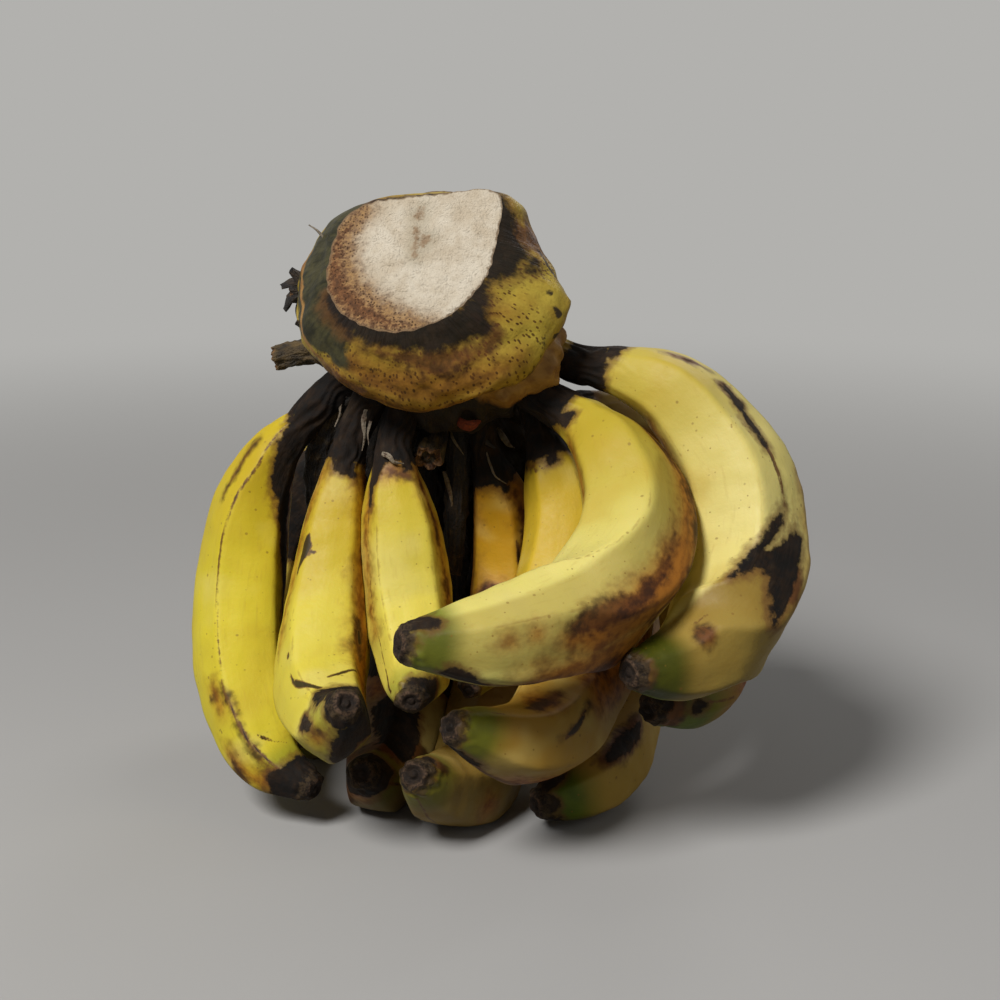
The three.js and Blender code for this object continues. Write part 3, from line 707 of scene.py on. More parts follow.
class Skin:
    """A material made of patterns, in mm over the piece's own unbent shape, and of colours laid on by them. A
    pattern is called by its name, with the weight it has among others."""

    NOISE_SPAN = (0.28, 0.72)  # where nearly all of a noise lies
    SPECK_EDGE = (-0.02, 0.05)  # softness of a speck's edge, as shares of the spacing
    LOT_EDGE = 0.05  # softness of the draw that keeps a speck

    def __init__(self, name, **mottles):
        """Each mottle goes from -1 to 1, and is given by the size of its patches in mm, their detail and how
        many times longer than wide they are."""
        self.material, self.tree = new_material(name)
        self.unbent = add(self.tree, "ShaderNodeAttribute", attribute_name="unbent", out="Vector")
        self.patterns = {}
        self.colour = None
        low, high = self.NOISE_SPAN
        for mottle, (size, detail, stretch) in mottles.items():
            inputs = {"Vector": self.drawn_out(stretch), "Scale": 1 / size, "Detail": detail}
            cloud = add(self.tree, "ShaderNodeTexNoise", inputs)
            inputs = {"Value": cloud, "From Min": low, "From Max": high, "To Min": -1, "To Max": 1}
            self.patterns[mottle] = add(self.tree, "ShaderNodeMapRange", inputs)

    def __getitem__(self, name):
        """The pattern of that name, or else what the mesh holds under it."""
        if name not in self.patterns:
            self.patterns[name] = add(self.tree, "ShaderNodeAttribute", attribute_name=name, out="Fac")
        return self.patterns[name]

    def __setitem__(self, name, pattern):
        self.patterns[name] = pattern

    def drawn_out(self, stretch):
        inputs = {0: self.unbent, 1: (1, 1, 1 / stretch)}
        return add(self.tree, "ShaderNodeVectorMath", inputs, operation="MULTIPLY")

    def blend(self, base=0.0, **weights):
        """The base plus every pattern times its weight."""
        for name, weight in weights.items():
            inputs = {0: self[name], 1: weight, 2: base}
            base = add(self.tree, "ShaderNodeMath", inputs, operation="MULTIPLY_ADD")
        return base

    def amount(self, low, high, most, **weights):
        """0 where the patterns' blend is below low, rising to the most above high."""
        inputs = {"Value": self.blend(**weights), "From Min": low, "From Max": high, "To Max": most}
        return add(self.tree, "ShaderNodeMapRange", inputs, interpolation_type="SMOOTHSTEP")

    def cover(self, below, above, *amounts, **settings):
        """One colour over another, by the product of the amounts. A colour is sRGB hex or a link."""
        share = amounts[0]
        for amount in amounts[1:]:
            share = add(self.tree, "ShaderNodeMath", {0: share, 1: amount}, operation="MULTIPLY")
        sides = {6: below, 7: above}
        inputs = {0: share, **{k: hex_colour(v) if isinstance(v, str) else v for k, v in sides.items()}}
        return add(self.tree, "ShaderNodeMix", inputs, out=2, data_type="RGBA", **settings)

    def lay(self, above, *amounts, **settings):
        """Lays a colour over the skin so far."""
        self.colour = self.cover(self.colour, above, *amounts, **settings)

    def tone(self, low, high, below, above, **weights):
        """One colour turning into another between low and high of the patterns' blend."""
        return self.cover(below, above, self.amount(low, high, 1, **weights))

    def specks(self, spacing, radius, kept, stretch=1.0):
        """1 on small specks about that many mm apart, with only that share of them kept. The lot of each
        cell says whether its speck is grown, and away is the distance from its middle."""
        inputs = {"Vector": self.drawn_out(stretch), "Scale": 1 / spacing}
        cells = add(self.tree, "ShaderNodeTexVoronoi", inputs).node
        self["away"] = cells.outputs["Distance"]
        self["lot"] = add(self.tree, "ShaderNodeSeparateColor", {"Color": cells.outputs["Color"]})
        self["grown"] = self.amount(1 - kept, 1 - kept + self.LOT_EDGE, radius / spacing, lot=1)
        return self.amount(*self.SPECK_EDGE, 1, grown=1, away=-1)

    def furrows(self, elsewhere, **weights):
        """The patterns' blend, at its full depth where the skin is black and at a share of it elsewhere."""
        inputs = {0: self.blend(**weights), 1: self.blend(elsewhere, black=1)}
        return add(self.tree, "ShaderNodeMath", inputs, operation="MULTIPLY")

    def finished(self, relief, strength, depth, looks):
        """The material with its colour and looks, and a pattern that many mm deep as its relief."""
        bump = {"Height": relief, "Strength": strength, "Distance": depth * MM}
        looks = {"Base Color": self.colour, "Normal": add(self.tree, "ShaderNodeBump", bump), **looks}
        shader = add(self.tree, "ShaderNodeBsdfPrincipled", looks)
        add(self.tree, "ShaderNodeOutputMaterial", {"Surface": shader})
        return self.material


def banana_peel():
    """Banana peel: a thin waxy rind. It gives a soft sheen over yellow that goes green at the tips, with fine
    brown freckles, brown lines rubbed along the ridges, and black where it has dried."""
    # Blushes as wide as a finger, stains, blotches, wax grit, and streaks along the fibres.
    skin = Skin(
        "banana_peel", broad=(26, 2, 1), patchy=(7, 2, 1), fine=(2.2, 3, 1), grit=(0.7, 3, 1),
        streaks=(1.4, 2, 9),
    )
    skin.colour = add(skin.tree, "ShaderNodeAttribute", attribute_name="yellow_and_shade", out="Color")
    skin.lay("#e6d583", skin.amount(0, 1.1, 0.4, broad=1))
    skin.lay("#bf9c30", skin.amount(0.1, -1.1, 0.35, broad=1))
    skin.lay("#b08e38", skin.amount(0.2, 1.5, 0.2, streaks=1, patchy=0.5))

    green = skin.tone(-1.2, 1.2, "#69761a", "#455612", broad=1, patchy=0.6)
    skin.lay(green, skin["unripe"])
    # Painted shade: faces turned down from the light are multiplied browner and darker.
    skin.lay("#af9c79", skin["shaded_face"], blend_type="MULTIPLY")
    # Orange brown: overripe skin, and painted shade on sides that face other fingers and on undersides.
    orange = skin.tone(-0.9, 1.1, "#b06c1e", "#7a4110", patchy=1, fine=0.9)
    skin.lay(orange, skin.amount(-7, 5, 0.95, amber=1, patchy=2.4, fine=1))

    on_ridge = skin.amount(0.7, 0.05, 1, off_ridge=1, fine=0.3)
    skin.lay("#85602a", on_ridge, skin.amount(-0.5, 0.7, 0.5, broad=1, patchy=0.9))
    freckled = skin.amount(-1, 0.5, 0.7, patchy=1, broad=0.6)
    skin.lay("#8d6a2a", skin.specks(2.6, 0.36, 0.5), freckled)
    skin.lay("#7a5524", skin.specks(5, 0.6, 0.5), 0.5)

    skin["bruise"] = skin.amount(-2, 1.6, 0.92, browned=1, patchy=1.2, fine=0.6)
    brown = skin.tone(-1, 1, "#673816", "#341a0b", patchy=1, fine=0.9)
    skin.lay(brown, skin["bruise"])
    nick = skin.tone(0.15, 0.4, "#6e4a22", "#21150c", scratch=1)
    skin.lay(nick, skin.amount(-0.35, 0.2, 0.95, scratch=1, fine=0.22, grit=0.12))
    charred = {"charred": 1, "patchy": 1.4, "fine": 0.7, "grit": 0.25}
    skin["black"] = skin.amount(-0.9, 0.6, 1, **charred)
    dead = skin.tone(-0.9, 1.2, "#0f0b08", "#2a1d12", patchy=1, fine=0.6)
    dead = skin.cover(dead, "#433829", skin.amount(0.3, 1.6, 0.4, patchy=1, streaks=0.7))
    skin.lay("#6a4322", skin.amount(-4, -0.4, 0.7, **charred))
    skin.lay(dead, skin["black"])
    dried = skin.tone(-0.8, 0.8, "#1f1710", "#4b3c29", fine=1, grit=0.8)
    skin.lay(dried, skin.amount(1.4, 3, 0.8, fine=1, dried_end=4))
    fibres = skin.tone(-0.8, 0.9, "#241a13", "#5f4a39", fine=1, grit=0.8)
    skin.lay(fibres, skin.amount(0.3, 0.7, 0.9, blossom_scar=1))
    skin.lay("#1a130e", skin.amount(0.8, 1.5, 0.85, blossom_scar=1, fine=0.2))

    skin["dry_scar"] = skin.amount(0.3, 0.8, 0.4, blossom_scar=1)
    skin["dry"] = skin.amount(0, 1, 0.34, black=1, bruise=0.35, dry_scar=1)
    skin["furrows"] = skin.furrows(0.12, streaks=1, fine=0.6)
    return skin.finished(skin.blend(furrows=1, fine=0.22, grit=0.077), 0.35, 0.25, {
        "Roughness": skin.blend(0.5, dry=1, fine=0.05), "IOR": 1.42, "Specular IOR Level": 0.3,
        "Subsurface Weight": 0.06, "Subsurface Radius": (1, 0.55, 0.15), "Subsurface Scale": 2 * MM,
    })


def stalk_rind():
    """Stalk rind: thick waxy skin like the peel's, freckled brown, black in a band under the saw cut, partly
    bruised and partly painted shadow under the cut's edge, and grey green on one flank. Below the lip it has
    dried to black wrinkles."""
    # Blushes, stains, blotches, scurf, and streaks along the fibres.
    skin = Skin(
        "stalk_rind", broad=(20, 2, 1), patchy=(6, 2, 1), fine=(2, 3, 1), grit=(0.8, 3, 1),
        streaks=(1.6, 2, 6),
    )
    skin.colour = skin.tone(-1.4, 1.4, "#a98930", "#c0a840", broad=1, patchy=1)
    brown = skin.tone(-0.9, 1, "#9c6a28", "#6f431a", patchy=1, fine=0.6)
    # Orange brown on the rind, partly painted shade where the rind turns down and away from the light.
    skin.lay(brown, skin.amount(-7, 4, 0.92, amber=1, patchy=2.2, fine=1))
    freckled = skin.amount(-1.4, -0.2, 0.9, broad=1, amber=0.13)
    skin.lay("#553312", skin.specks(1.1, 0.36, 0.8, 1.7), freckled)
    skin.lay("#44280c", skin.specks(1.9, 0.42, 0.6, 1.6), freckled)
    flank = skin.tone(-1.4, 1.4, "#232213", "#454127", patchy=1, fine=0.8, streaks=0.6)
    skin.lay(flank, skin.amount(-1.6, 1.4, 1, green=1, patchy=1.4, fine=0.8))
    pale = skin.tone(-0.9, 1.2, "#b58849", "#8a5c2e", patchy=1, fine=0.8)
    skin.lay(pale, skin.amount(-0.8, 0.5, 0.92, tan=1, fine=0.4))
    bruise = skin.tone(-1, 1, "#744623", "#3f2412", patchy=1, fine=0.9)
    skin.lay(bruise, skin.amount(-2.6, 1.6, 0.9, browned=1, patchy=1.8, fine=0.9))
    skin.lay("#241810", skin.amount(-0.4, 0.25, 0.95, scratch=1, fine=0.4))
    charred = {"charred": 1, "patchy": 1.3, "fine": 0.8, "grit": 0.3}
    skin.lay("#6a4420", skin.amount(-4.5, 0, 0.65, **charred))
    skin["black"] = skin.amount(-1.6, 1.6, 0.97, **charred)
    dead = skin.tone(-0.6, 1.4, "#0d0906", "#231810", patchy=1, fine=0.8)
    skin.lay(dead, skin["black"])
    skin["dry"] = skin.amount(0, 1, 0.22, black=1)
    skin["furrows"] = skin.furrows(0.2, streaks=1)
    return skin.finished(skin.blend(furrows=1, fine=0.3, grit=0.12), 0.5, 0.4, {
        "Roughness": skin.blend(0.5, dry=1, fine=0.05), "IOR": 1.45, "Specular IOR Level": 0.3,
    })


def sawn_stalk_flesh():
    """Sawn stalk: pale pithy flesh, cut across its fibres. It is matt and grainy, stained brown by its sap
    along one side, with small pits where the fibres tore. The grain is coarser than real pith, to show."""
    # Stains, sap patches, pith, and saw crumbs.
    skin = Skin(
        "sawn_stalk_flesh", broad=(14, 2, 1), patchy=(5, 2, 1), fine=(1.7, 3, 1), grit=(0.7, 4, 1)
    )
    skin.colour = skin.tone(-1.2, 1.2, "#c5b59c", "#d9cdb8", broad=1, patchy=0.7)
    skin.lay("#a8967c", skin.amount(0.2, 1.4, 0.4, fine=1, grit=0.8))
    sap = skin.tone(-0.9, 0.9, "#9e7236", "#6b4620", fine=1, grit=0.6)
    skin.lay(sap, skin.amount(-8, 1, 0.85, browned=1, patchy=2, fine=1))
    deep = skin.tone(-0.8, 0.8, "#76492a", "#4e2f1a", fine=1)
    skin.lay(deep, skin.amount(0.6, 4.6, 0.85, browned=1, fine=1.8, grit=1.2))
    skin.lay("#8a5c36", skin.amount(-1.6, 0.8, 0.75, spots=1, fine=0.8, grit=0.5))
    skin.lay("#8f8468", skin.amount(-6, 0, 0.35, spots=1, patchy=1.5))
    stained = skin.amount(-8, 1, 0.8, browned=1, patchy=2)
    skin.lay("#3b2513", skin.specks(1.1, 0.36, 0.7), stained)
    skin.lay("#7a6248", skin.amount(0.9, 0.1, 0.85, cut_edge=1, fine=0.5))
    return skin.finished(skin.blend(grit=1, fine=0.8), 0.7, 0.35, {"Roughness": 0.9, "IOR": 1.4})


def dried_pedicel():
    """Dried pedicel skin: shrunk, wrinkled and fibrous. It looks black brown with greyer ridges, paler torn
    fibres at its broken end, and rust brown on one torn shred."""
    # Stains, blotches, scurf, and fibres drawn out along the pedicel.
    skin = Skin(
        "dried_pedicel", patchy=(5, 2, 1), fine=(1.6, 3, 1), grit=(0.7, 3, 1), streaks=(1.2, 3, 7)
    )
    skin.colour = skin.tone(-0.6, 1.4, "#120d09", "#3a2d1e", streaks=1, patchy=0.7)
    bark = skin.tone(-0.9, 1.2, "#2b2112", "#66522f", patchy=1, streaks=0.7)
    skin.lay(bark, skin.amount(0, 1, 0.9, faded=1, patchy=0.5))
    fibres = skin.tone(-0.7, 0.9, "#452813", "#7f5a33", fine=1, grit=0.8)
    skin.lay(fibres, skin.amount(-0.6, 0.8, 1, torn=1, grit=0.9))
    skin.lay("#8f8472", skin.amount(1, 1.8, 0.9, torn=1, fine=0.4))
    rust = skin.tone(-1, 1, "#64240c", "#943c1a", grit=1, fine=0.6)
    skin.lay(rust, skin["rusty"])
    return skin.finished(skin.blend(streaks=1, grit=0.5), 0.8, 0.4, {"Roughness": 0.72, "IOR": 1.45})


# ---- Fingers -----------------------------------------------------------------------------------------


def stray_marks(dice, length):
    """A few marks of each kind for the sides that face away from the viewer."""
    marks = {kind: [] for kind in KINDS}
    for kind, number, half in STRAY_MARKS:
        for _ in range(number):
            share, turn = dice.uniform(0.25, 0.85), dice.uniform(-180, 180)
            run = dice.uniform(2, 12) / length
            marks[kind].append([
                (share, turn, half * dice.uniform(0.4, 1)),
                (share + run / 2, turn + dice.uniform(-14, 14), half * dice.uniform(0.7, 1.2)),
                (share + run, turn + dice.uniform(-24, 24), half * dice.uniform(0.3, 0.8)),
            ])
    return marks


def in_mm(marks, length):
    """Marks given in shares of the length, as mm along it."""
    return [[(share * length, turn, half) for share, turn, half in mark] for mark in marks]


def peel_marks(number, name, length, along, angle, reach, backward):
    """How deep each spot of a finger lies in its marks of each kind. Backward is 1 where the peel faces away
    from the viewer and -1 where it faces them."""
    stray = stray_marks(random.Random(number), length)
    unseen = smoothstep(0.05, 0.35, backward) * (MARK_LIMIT * 2)
    fields = {}
    for kind in KINDS:
        given, chance = (
            marks_round(in_mm(marks, length), along, angle, reach)
            for marks in (MARKS.get(name, {}).get(kind, []), stray[kind])
        )
        fields[kind] = np.maximum(given, chance - MARK_LIMIT * 2 + unseen)
    fields["shaded_face"] = FACE_SHADING.get(name, 0) * smoothstep(-1.5, 1.5, fields["shaded_face"])
    start, end = PEDICEL_BLACK.get(name, OTHER_BLACK)
    neck = np.minimum(along - start * length if start else MARK_LIMIT, end * length - along)
    tip = along - BLOSSOM_BLACK.get(name, PLAIN_BLOSSOM_BLACK) * length + np.sin(2 * angle + number)
    # Painted shade: black on the back fingers' sides that face the viewer, down to their share.
    painted_shade = np.minimum(PAINTED_SHADE_BLACK.get(name, -1) * length - along, PAINTED_SHADE_WIDTH * -backward)
    for black in (neck, tip, painted_shade):
        fields["charred"] = np.maximum(fields["charred"], black)
    return fields


def finger_shape(number, name):
    """The points of a finger in mm, rows by steps round, and what its peel looks like at each of them."""
    stout, line = FINGERS[name]
    bend, girth = Bend(line), GIRTH * stout
    rows = smooth_curve([(share * bend.length, radius * girth) for share, radius in PROFILE], ROWS_PER_STOP)
    share = rows[:, 0] / bend.length
    more, where, spread = FATTER.get(name, (0, 0, 1))
    radius = np.maximum(rows[:, 1], TUBE_END) * (1 + more * np.exp(-(((share - where) / spread) ** 2)))
    along, angle = np.meshgrid(share * bend.length, turns_round(FINGER_SIDES), indexing="ij")
    middle, onward, inside, side = (part[:, None] for part in bend.at(share))
    way_out = inside * np.cos(angle)[..., None] + side * np.sin(angle)[..., None]

    turned = angle - np.radians(np.interp(share, *zip(*RIDGE_TURNS.get(name, [(0, 0)]))))[:, None]
    facing = np.maximum(np.cos(turned[..., None] - FACE_ANGLES), 0)
    facets = (facing**FACE_SHARPNESS).sum(-1) ** (-1 / FACE_SHARPNESS)
    facets /= facets.mean()
    ridged = smoothstep(RIDGED[0] * girth, RIDGED[1] * girth, radius)[:, None]
    reach = radius[:, None] * (1 + FACETED * (0.25 + 0.75 * ridged) * (facets - 1))
    points = middle + way_out * reach[..., None]
    body = smoothstep(*BODY, share)[:, None]
    reach = reach + body * swells(points, PEEL_SWELLS, number)
    folds = np.sin(NECK_FOLDS * angle + 3 * swell(points, 12, number + 90))
    on_neck = smoothstep(*NECK, share)[:, None]
    blunt = smoothstep(*BLUNT, share)[:, None] * np.minimum(1, radius / girth / 0.3)[:, None]
    rough = swell(points, BLUNT_SIZE, number + 60)
    reach = reach + NECK_FOLD_RISE * on_neck * folds + BLUNT_RISE * blunt * rough
    points = middle + way_out * reach[..., None]
    scar = smoothstep(*(girth * edge for edge in SCAR_RADII), radius)[:, None] * (share > SCAR)[:, None] * 2
    points = points + onward * (scar > 0.1)[..., None] * 0.25 * swell(points, 4, number + 7)[..., None]

    fields = peel_marks(number, name, bend.length, along, angle, reach, way_out[..., 1])
    start, end, deep = UNRIPE.get(name, OTHER_UNRIPE)
    fields["unripe"] = deep * smoothstep(-5, 5, along - start * bend.length)
    fields["unripe"] *= smoothstep(3, -1, along - end * bend.length)
    fields["dried_end"] = 0.8 * smoothstep(0.965, 0.995, along / bend.length)
    ridge_angle = abs((turned + math.pi / 5) % (math.tau / 5) - math.pi / 5)
    fields["off_ridge"] = ridge_angle * reach + 4 * (1 - ridged)
    fields["blossom_scar"] = scar * np.ones_like(angle)
    fields = {field: np.clip(values, -MARK_LIMIT, MARK_LIMIT).ravel() for field, values in fields.items()}
    straight = np.stack([np.cos(angle) * reach, np.sin(angle) * reach, along + 400 * number], -1)
    fields["unbent"] = straight.reshape(-1, 3)
    # Painted shade: the yellow is darker near the stalk and turns paler further out.
    near, far = (np.array(hex_colour(colour)[:3]) for colour in PEEL_COLOURS_AND_SHADE.get(name, OTHER_COLOURS_AND_SHADE))
    fields["yellow_and_shade"] = near + smoothstep(0.22, 0.6, along / bend.length).reshape(-1, 1) * (far - near)
    return points.reshape(-1, 3), tube_faces(len(share), FINGER_SIDES), fields


def press_together(shapes):
    """Where two fingers run into each other, moves the skin of both back to where they meet."""
    trees = [BVHTree.FromPolygons([Vector(p) for p in points], faces) for points, faces in shapes]
    boxes = [(points.min(0), points.max(0)) for points, _ in shapes]
    moves = [np.zeros_like(points) for points, _ in shapes]
    for i, (points, _) in enumerate(shapes):
        for j, tree in enumerate(trees):
            if i == j:
                continue
            low, high = boxes[j]
            near = np.nonzero(((points > low) & (points < high)).all(1))[0]
            for k in near:
                spot = Vector(points[k])
                place, normal, _, _ = tree.find_nearest(spot, PRESS_REACH)
                if place is None:
                    continue
                inside = (place - spot).dot(normal) + TOUCHING
                if inside > 0:
                    push = np.array(normal) * inside / 2
                    if np.linalg.norm(push) > np.linalg.norm(moves[i][k]):
                        moves[i][k] = push
    return [points + move for (points, _), move in zip(shapes, moves)]


def make_fingers(peel):
    """The seventeen fingers, pressed where they touch and flattened a little where they rest."""
    made = [finger_shape(number, name) for number, name in enumerate(FINGERS)]
    pressed = press_together([(points, faces) for points, faces, _ in made])
    for name, points, (_, faces, fields) in zip(FINGERS, pressed, made):
        points[:, 2] = np.maximum(points[:, 2], FLATTENED)
        piece = mesh_piece(name + "_peel", points, faces, fields, peel)
        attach(piece, "root")
        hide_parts(name)


# ---- Stalk -------------------------------------------------------------------------------------------


def stalk_axes():
    """The ways across, towards the back of, and out along the stalk, from the middle of its sawn face."""
    level = np.array([-math.sin(STALK_LEAN), -math.cos(STALK_LEAN), 0])
    axis = level * math.cos(STALK_RISE) + np.array([0, 0, math.sin(STALK_RISE)])
    across = np.array([math.cos(STALK_LEAN), -math.sin(STALK_LEAN), 0])
    return np.array([across, np.cross(axis, across), axis])


def cut_edge(across, back):
    """How far the sawn face's edge lies from its middle in a direction, as a share of its radius."""
    level = back - CUT_SLANT * across
    edge = np.empty_like(across)
    for end, ahead in (("front", level <= 0), ("back", level > 0)):
        for side, there in (("left", across <= 0), ("right", across > 0)):
            wide, deep, power = CUT_CORNERS[end][side]
            spots = ahead & there
            x, y = abs(across[spots] / wide), abs(level[spots] / deep)
            edge[spots] = (x**power + y**power) ** (-1 / power)
    return edge / CUT_RADIUS


def stalk_piece(name, local, faces, fields, material, unbent=None):
    """A piece of the stalk from points across, back and out along it, in mm."""
    points = local.reshape(-1, 3) @ stalk_axes() + CUT_CENTRE + TO_ORIGIN
    fields = {field: values.ravel() for field, values in fields.items()}
    fields["unbent"] = (local if unbent is None else unbent).reshape(-1, 3).copy()
    piece = mesh_piece(name, points, faces, fields, material)
    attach(piece, "root")
    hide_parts("stalk")
    return piece


def make_rind(turn, ragged, rind):
    """The skin of the stalk from the sawn rim down. Gives its last row of points, across and back."""
    across, back = np.cos(turn), np.sin(turn)
    levels = smooth_curve(STALK_LEVELS, ROWS_PER_LEVEL)
    depth, radius, round_, wide = (column[:, None] for column in levels.T)
    lipped = np.sqrt(round_)
    shoulder = 1 - SHOULDER * lipped * 2 * np.maximum(across, 0) * np.maximum(back, 0)
    aside = (np.degrees(turn) - JOINT["angle"]) / JOINT["angle_spread"]
    down = (depth - JOINT["depth"]) / JOINT["depth_spread"]
    reach = radius * shoulder * (cut_edge(across, back) * (1 - round_) + round_)
    reach = reach + JOINT["swell"] * np.exp(-(aside**2) - down**2)
    rough = np.stack([reach * across, reach * back, -depth * np.ones_like(across)], -1)
    skin = smoothstep(0, RIM_DEPTH, depth)
    reach = reach + skin * swells(rough, RIND_SWELLS) + (1 - skin) * ragged
    dried = smoothstep(*DRIED_FROM, depth) * smoothstep(LAST_DEPTH + 2, LAST_DEPTH - 12, depth)
    folds = STALK_FOLD_RISE * np.sin(STALK_FOLDS * turn + 2 * swell(rough, 25, 4))
    reach = reach + dried * (folds + 0.6 * swell(rough, 6, 5))
    local = np.stack([reach * wide * across + LIP_RIGHT * lipped, reach * back, rough[..., 2]], -1)
    lip = smoothstep(*LIP_FROM, depth) * smoothstep(*LIP_TO, depth)
    local[..., 2] += lip * LIP_RISE * swell(rough, LIP_SIZE, 6)
    along, angle = np.broadcast_to(depth, reach.shape), np.broadcast_to(turn, reach.shape)
    fields = {kind: marks_round(marks, along, angle, reach) for kind, marks in STALK_MARKS.items()}
    below_lip = np.minimum(depth - DRIED_FROM[0], 2 - 1.5 * fields["tan"])
    fields["charred"] = np.clip(np.maximum(fields["charred"], below_lip), -MARK_LIMIT, MARK_LIMIT)
    gone = np.cumsum(np.hypot(np.gradient(depth[:, 0]), np.gradient(radius[:, 0])))[:, None]
    round_skin = UNROLLED_RADIUS * across, UNROLLED_RADIUS * back
    unrolled = np.stack(np.broadcast_arrays(*round_skin, gone), -1)
    stalk_piece("stalk_rind", local, tube_faces(*reach.shape), fields, rind, unrolled)
    return local[-1, :, :2]


def make_sawn_faces(turn, rim, last, flesh):
    """The grainy flesh inside the rim of the upper cut and inside the rind's last row at the lower cut."""
    shrink = np.linspace(1, 0.004, CUT_RINGS)[:, None]
    spread = shrink * rim
    upper = np.stack([spread * np.cos(turn), spread * np.sin(turn), np.zeros_like(spread)], -1)
    inner = smoothstep(0, 2.5, rim - spread)
    grain = inner * swells(upper, SAWN_GRAIN) + 0.25 * smoothstep(0, 1, rim - spread)
    for name, spots, edge, height, out in (
        ("sawn_face", upper[..., :2], rim, 0, 1),
        ("sawn_face_lower", last * shrink[..., None], np.hypot(*last.T)[None, :], -LAST_DEPTH, -1),
    ):
        face = np.concatenate([spots, (height + out * grain)[..., None]], -1)
        places = spots[..., 0], spots[..., 1]
        fields = {kind: marks_across(marks, *places) for kind, marks in CUT_MARKS.items()}
        fields["cut_edge"] = edge * (1 - shrink)
        stalk_piece(name, face, [quad[::out] for quad in tube_faces(*grain.shape)], fields, flesh)


def make_stalk(rind, flesh):
    turn = turns_round(STALK_SIDES)
    across, back = np.cos(turn), np.sin(turn)
    spots = np.stack([across * RIM_NOISE_RADIUS, back * RIM_NOISE_RADIUS, 0 * turn], -1)
    ragged = RIM_RAGGED * swell(spots, RIM_NOISE_SIZE, 3)
    last = make_rind(turn, ragged, rind)
    make_sawn_faces(turn, (cut_edge(across, back) * CUT_RADIUS + ragged)[None, :], last, flesh)


def bent_stub(name, number, shape, skin, sides, faded, torn, flat=1.0, rusty=0.0):
    """A dried, wrinkled piece along a centreline with a ragged end. How faded and how torn it is are given at
    its root and at its end."""
    radii, line = shape
    turn = turns_round(sides)
    bend = Bend(line)
    stops = [(i * bend.length / (len(radii) - 1), radius) for i, radius in enumerate(radii)]
    end, last = stops[-1]
    rim = [(end + past, last * share) for past, share in STUB_RIM]
    rows = smooth_curve([*stops, *rim, (end, TUBE_END)], STUB_ROWS_PER_STOP)
    share, radius = rows[:, 0] / bend.length, np.maximum(rows[:, 1], TUBE_END)
    middle, onward, inside, side = (part[:, None] for part in bend.at(share))
    way_out = inside * np.cos(turn)[:, None] * flat + side * np.sin(turn)[:, None]
    points = middle + way_out * radius[:, None, None]
    folds = np.sin(STUB_FOLDS * turn + 2 * swell(points, 9, number))
    wrinkle = 0.06 * folds + 0.1 * swell(points, 4, number + 20)
    points = middle + way_out * (radius[:, None] * (1 + wrinkle))[..., None]
    ragged = smoothstep(0.86, 1, share)[:, None] * 0.16 * last * swell(points, 3, number + 40)
    points = points + onward * ragged[..., None]
    along = share[:, None] * bend.length * np.ones_like(turn)
    fields = {"rusty": np.full(len(share) * sides, rusty)}
    for field, (at_root, at_end), start in (("faded", faded, 0), ("torn", torn, 0.98)):
        values = at_root + (at_end - at_root) * smoothstep(start, 1, share)
        fields[field] = np.repeat(values, sides)
    round_ = np.stack([np.cos(turn), np.sin(turn)], -1) * radius[:, None, None]
    straight = np.concatenate([round_, along[..., None] + 90 * number], -1)
    fields["unbent"] = straight.reshape(-1, 3)
    piece = mesh_piece(name, points.reshape(-1, 3), tube_faces(len(share), sides), fields, skin)
    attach(piece, "root")
    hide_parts("stalk")


def make_stubs(skin):
    for number, (name, (radii, line, at_root, at_end, torn)) in enumerate(STUBS.items()):
        bent_stub(name, number, (radii, line), skin, STUB_SIDES, (at_root, at_end), (-1.4, torn))
    for kind, (torn, rusty, shreds) in SHREDS.items():
        for number, shape in enumerate(shreds, start=1):
            looks = (-1, -1), (torn, torn), SHRED_FLATNESS, rusty
            bent_stub(f"{kind}_{number}", number + 30, shape, skin, SHRED_SIDES, *looks)


# ---- Camera, floor and light -------------------------------------------------------------------------

LENS, SENSOR = 60, 36  # mm
LOOKED_AT = (7.7, 13.5, 103.5)  # mm, the middle of the bunch
VIEW_DISTANCE = 610  # mm
VIEW_RISE = math.radians(14)  # above level

FLOOR_GREY = "#b0aeab"
FLOOR_BOUNCE = "#5c5b59"  # the floor's colour to all but the camera, which keeps the undersides dark
BACKDROP_GREY = "#b2b1ae"
WORLD_LIGHT = 0.09
FLOOR_SIDES, FLOOR_RINGS = 96, (0.1, 300, 1000, 3200)  # mm
FADE = (0.3, 1.2)  # metres from the middle between which the floor turns into the backdrop
# Name, place in metres, width in metres and watts.
SOFTBOXES = [
    ("key_softbox", (-0.62, -0.95, 1.25), 0.55, 26),
    ("fill_softbox", (1.3, -0.7, 0.9), 1.0, 1.6),
    ("back_softbox", (0.6, 1.2, 1.0), 0.8, 4),
]
LAMPS_AIM_AT = (0, 0, 0.1)


def make_camera():
    data = bpy.data.cameras.new("viewer")
    data.lens, data.sensor_width = LENS, SENSOR
    camera = bpy.data.objects.new("viewer", data)
    bpy.context.scene.collection.objects.link(camera)
    back = Vector((0, -math.cos(VIEW_RISE), math.sin(VIEW_RISE)))
    camera.location = Vector(LOOKED_AT) * MM + back * (VIEW_DISTANCE * MM)
    camera.rotation_euler = (-back).to_track_quat("-Z", "Y").to_euler()
    bpy.context.scene.camera = camera


def seen_plainly(tree):
    """1 on what the camera sees, also in gloss and through clear things, and 0 on what lights the object."""
    rays = add(tree, "ShaderNodeLightPath").node
    seen = rays.outputs["Is Camera Ray"]
    for kind in ("Is Glossy Ray", "Is Transmission Ray"):
        seen = add(tree, "ShaderNodeMath", {0: seen, 1: rays.outputs[kind]}, operation="MAXIMUM")
    return seen


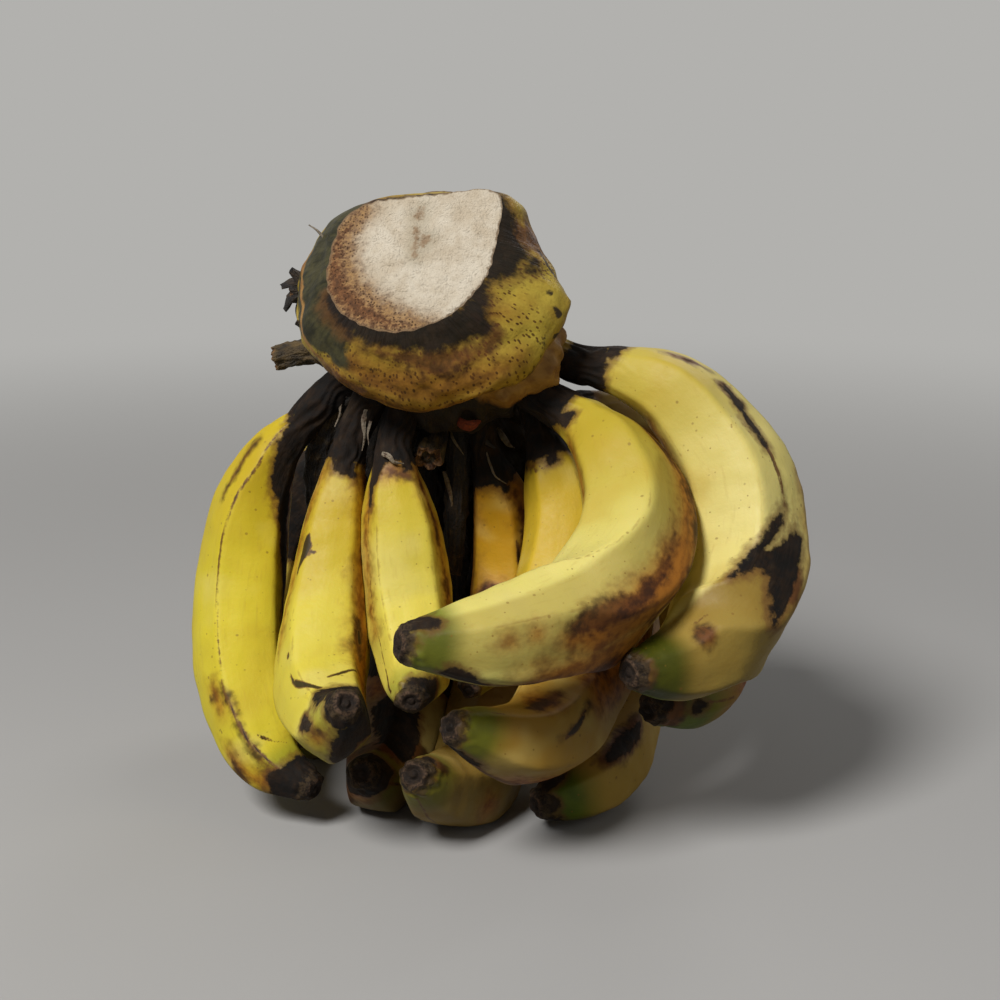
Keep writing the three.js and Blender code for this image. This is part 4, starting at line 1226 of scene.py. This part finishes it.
def make_floor():
    """A matt pale floor that fades into the backdrop before its edge. It throws little light back up."""
    material, tree = new_material("pale_floor")
    seen, place = seen_plainly(tree), add(tree, "ShaderNodeNewGeometry")
    away = add(tree, "ShaderNodeVectorMath", {0: place}, out="Value", operation="LENGTH")
    inputs = {"Value": away, "From Min": FADE[0], "From Max": FADE[1]}
    fade = add(tree, "ShaderNodeMapRange", inputs, interpolation_type="SMOOTHSTEP")
    shown = {0: seen, 6: hex_colour(FLOOR_BOUNCE), 7: hex_colour(FLOOR_GREY)}
    paint = add(tree, "ShaderNodeMix", shown, out=2, data_type="RGBA")
    near = add(tree, "ShaderNodeBsdfPrincipled", {"Base Color": paint, "Roughness": 0.9, "IOR": 1.3})
    glow = add(tree, "ShaderNodeMapRange", {"Value": seen, "To Min": WORLD_LIGHT, "To Max": 1})
    far = add(tree, "ShaderNodeEmission", {"Color": hex_colour(BACKDROP_GREY), "Strength": glow})
    mixed = add(tree, "ShaderNodeMixShader", {0: fade, 1: near, 2: far})
    add(tree, "ShaderNodeOutputMaterial", {"Surface": mixed})
    turn = turns_round(FLOOR_SIDES)
    rings = [np.stack([np.cos(turn) * r, np.sin(turn) * r, 0 * turn], -1) for r in FLOOR_RINGS]
    floor = mesh_piece("floor", np.concatenate(rings), tube_faces(len(rings), len(turn)), {}, material)


def make_light():
    world = bpy.data.worlds.new("studio")
    world.use_nodes = True
    tree = world.node_tree
    tree.nodes.clear()
    lit = add(tree, "ShaderNodeBackground", {"Color": hex_colour("#ffffff"), "Strength": WORLD_LIGHT})
    shown = add(tree, "ShaderNodeBackground", {"Color": hex_colour(BACKDROP_GREY), "Strength": 1})
    mixed = add(tree, "ShaderNodeMixShader", {0: seen_plainly(tree), 1: lit, 2: shown})
    add(tree, "ShaderNodeOutputWorld", {"Surface": mixed})
    bpy.context.scene.world = world
    for name, place, size, power in SOFTBOXES:
        data = bpy.data.lights.new(name, "AREA")
        data.shape, data.size, data.energy = "DISK", size, power
        lamp = bpy.data.objects.new(name, data)
        lamp.location = place
        lamp.rotation_euler = (Vector(LAMPS_AIM_AT) - Vector(place)).to_track_quat("-Z", "Y").to_euler()
        bpy.context.scene.collection.objects.link(lamp)


make_camera()
make_fingers(banana_peel())
make_stalk(stalk_rind(), sawn_stalk_flesh())
make_stubs(dried_pedicel())
make_floor()
make_light()
bpy.context.scene.view_settings.view_transform = "Standard"
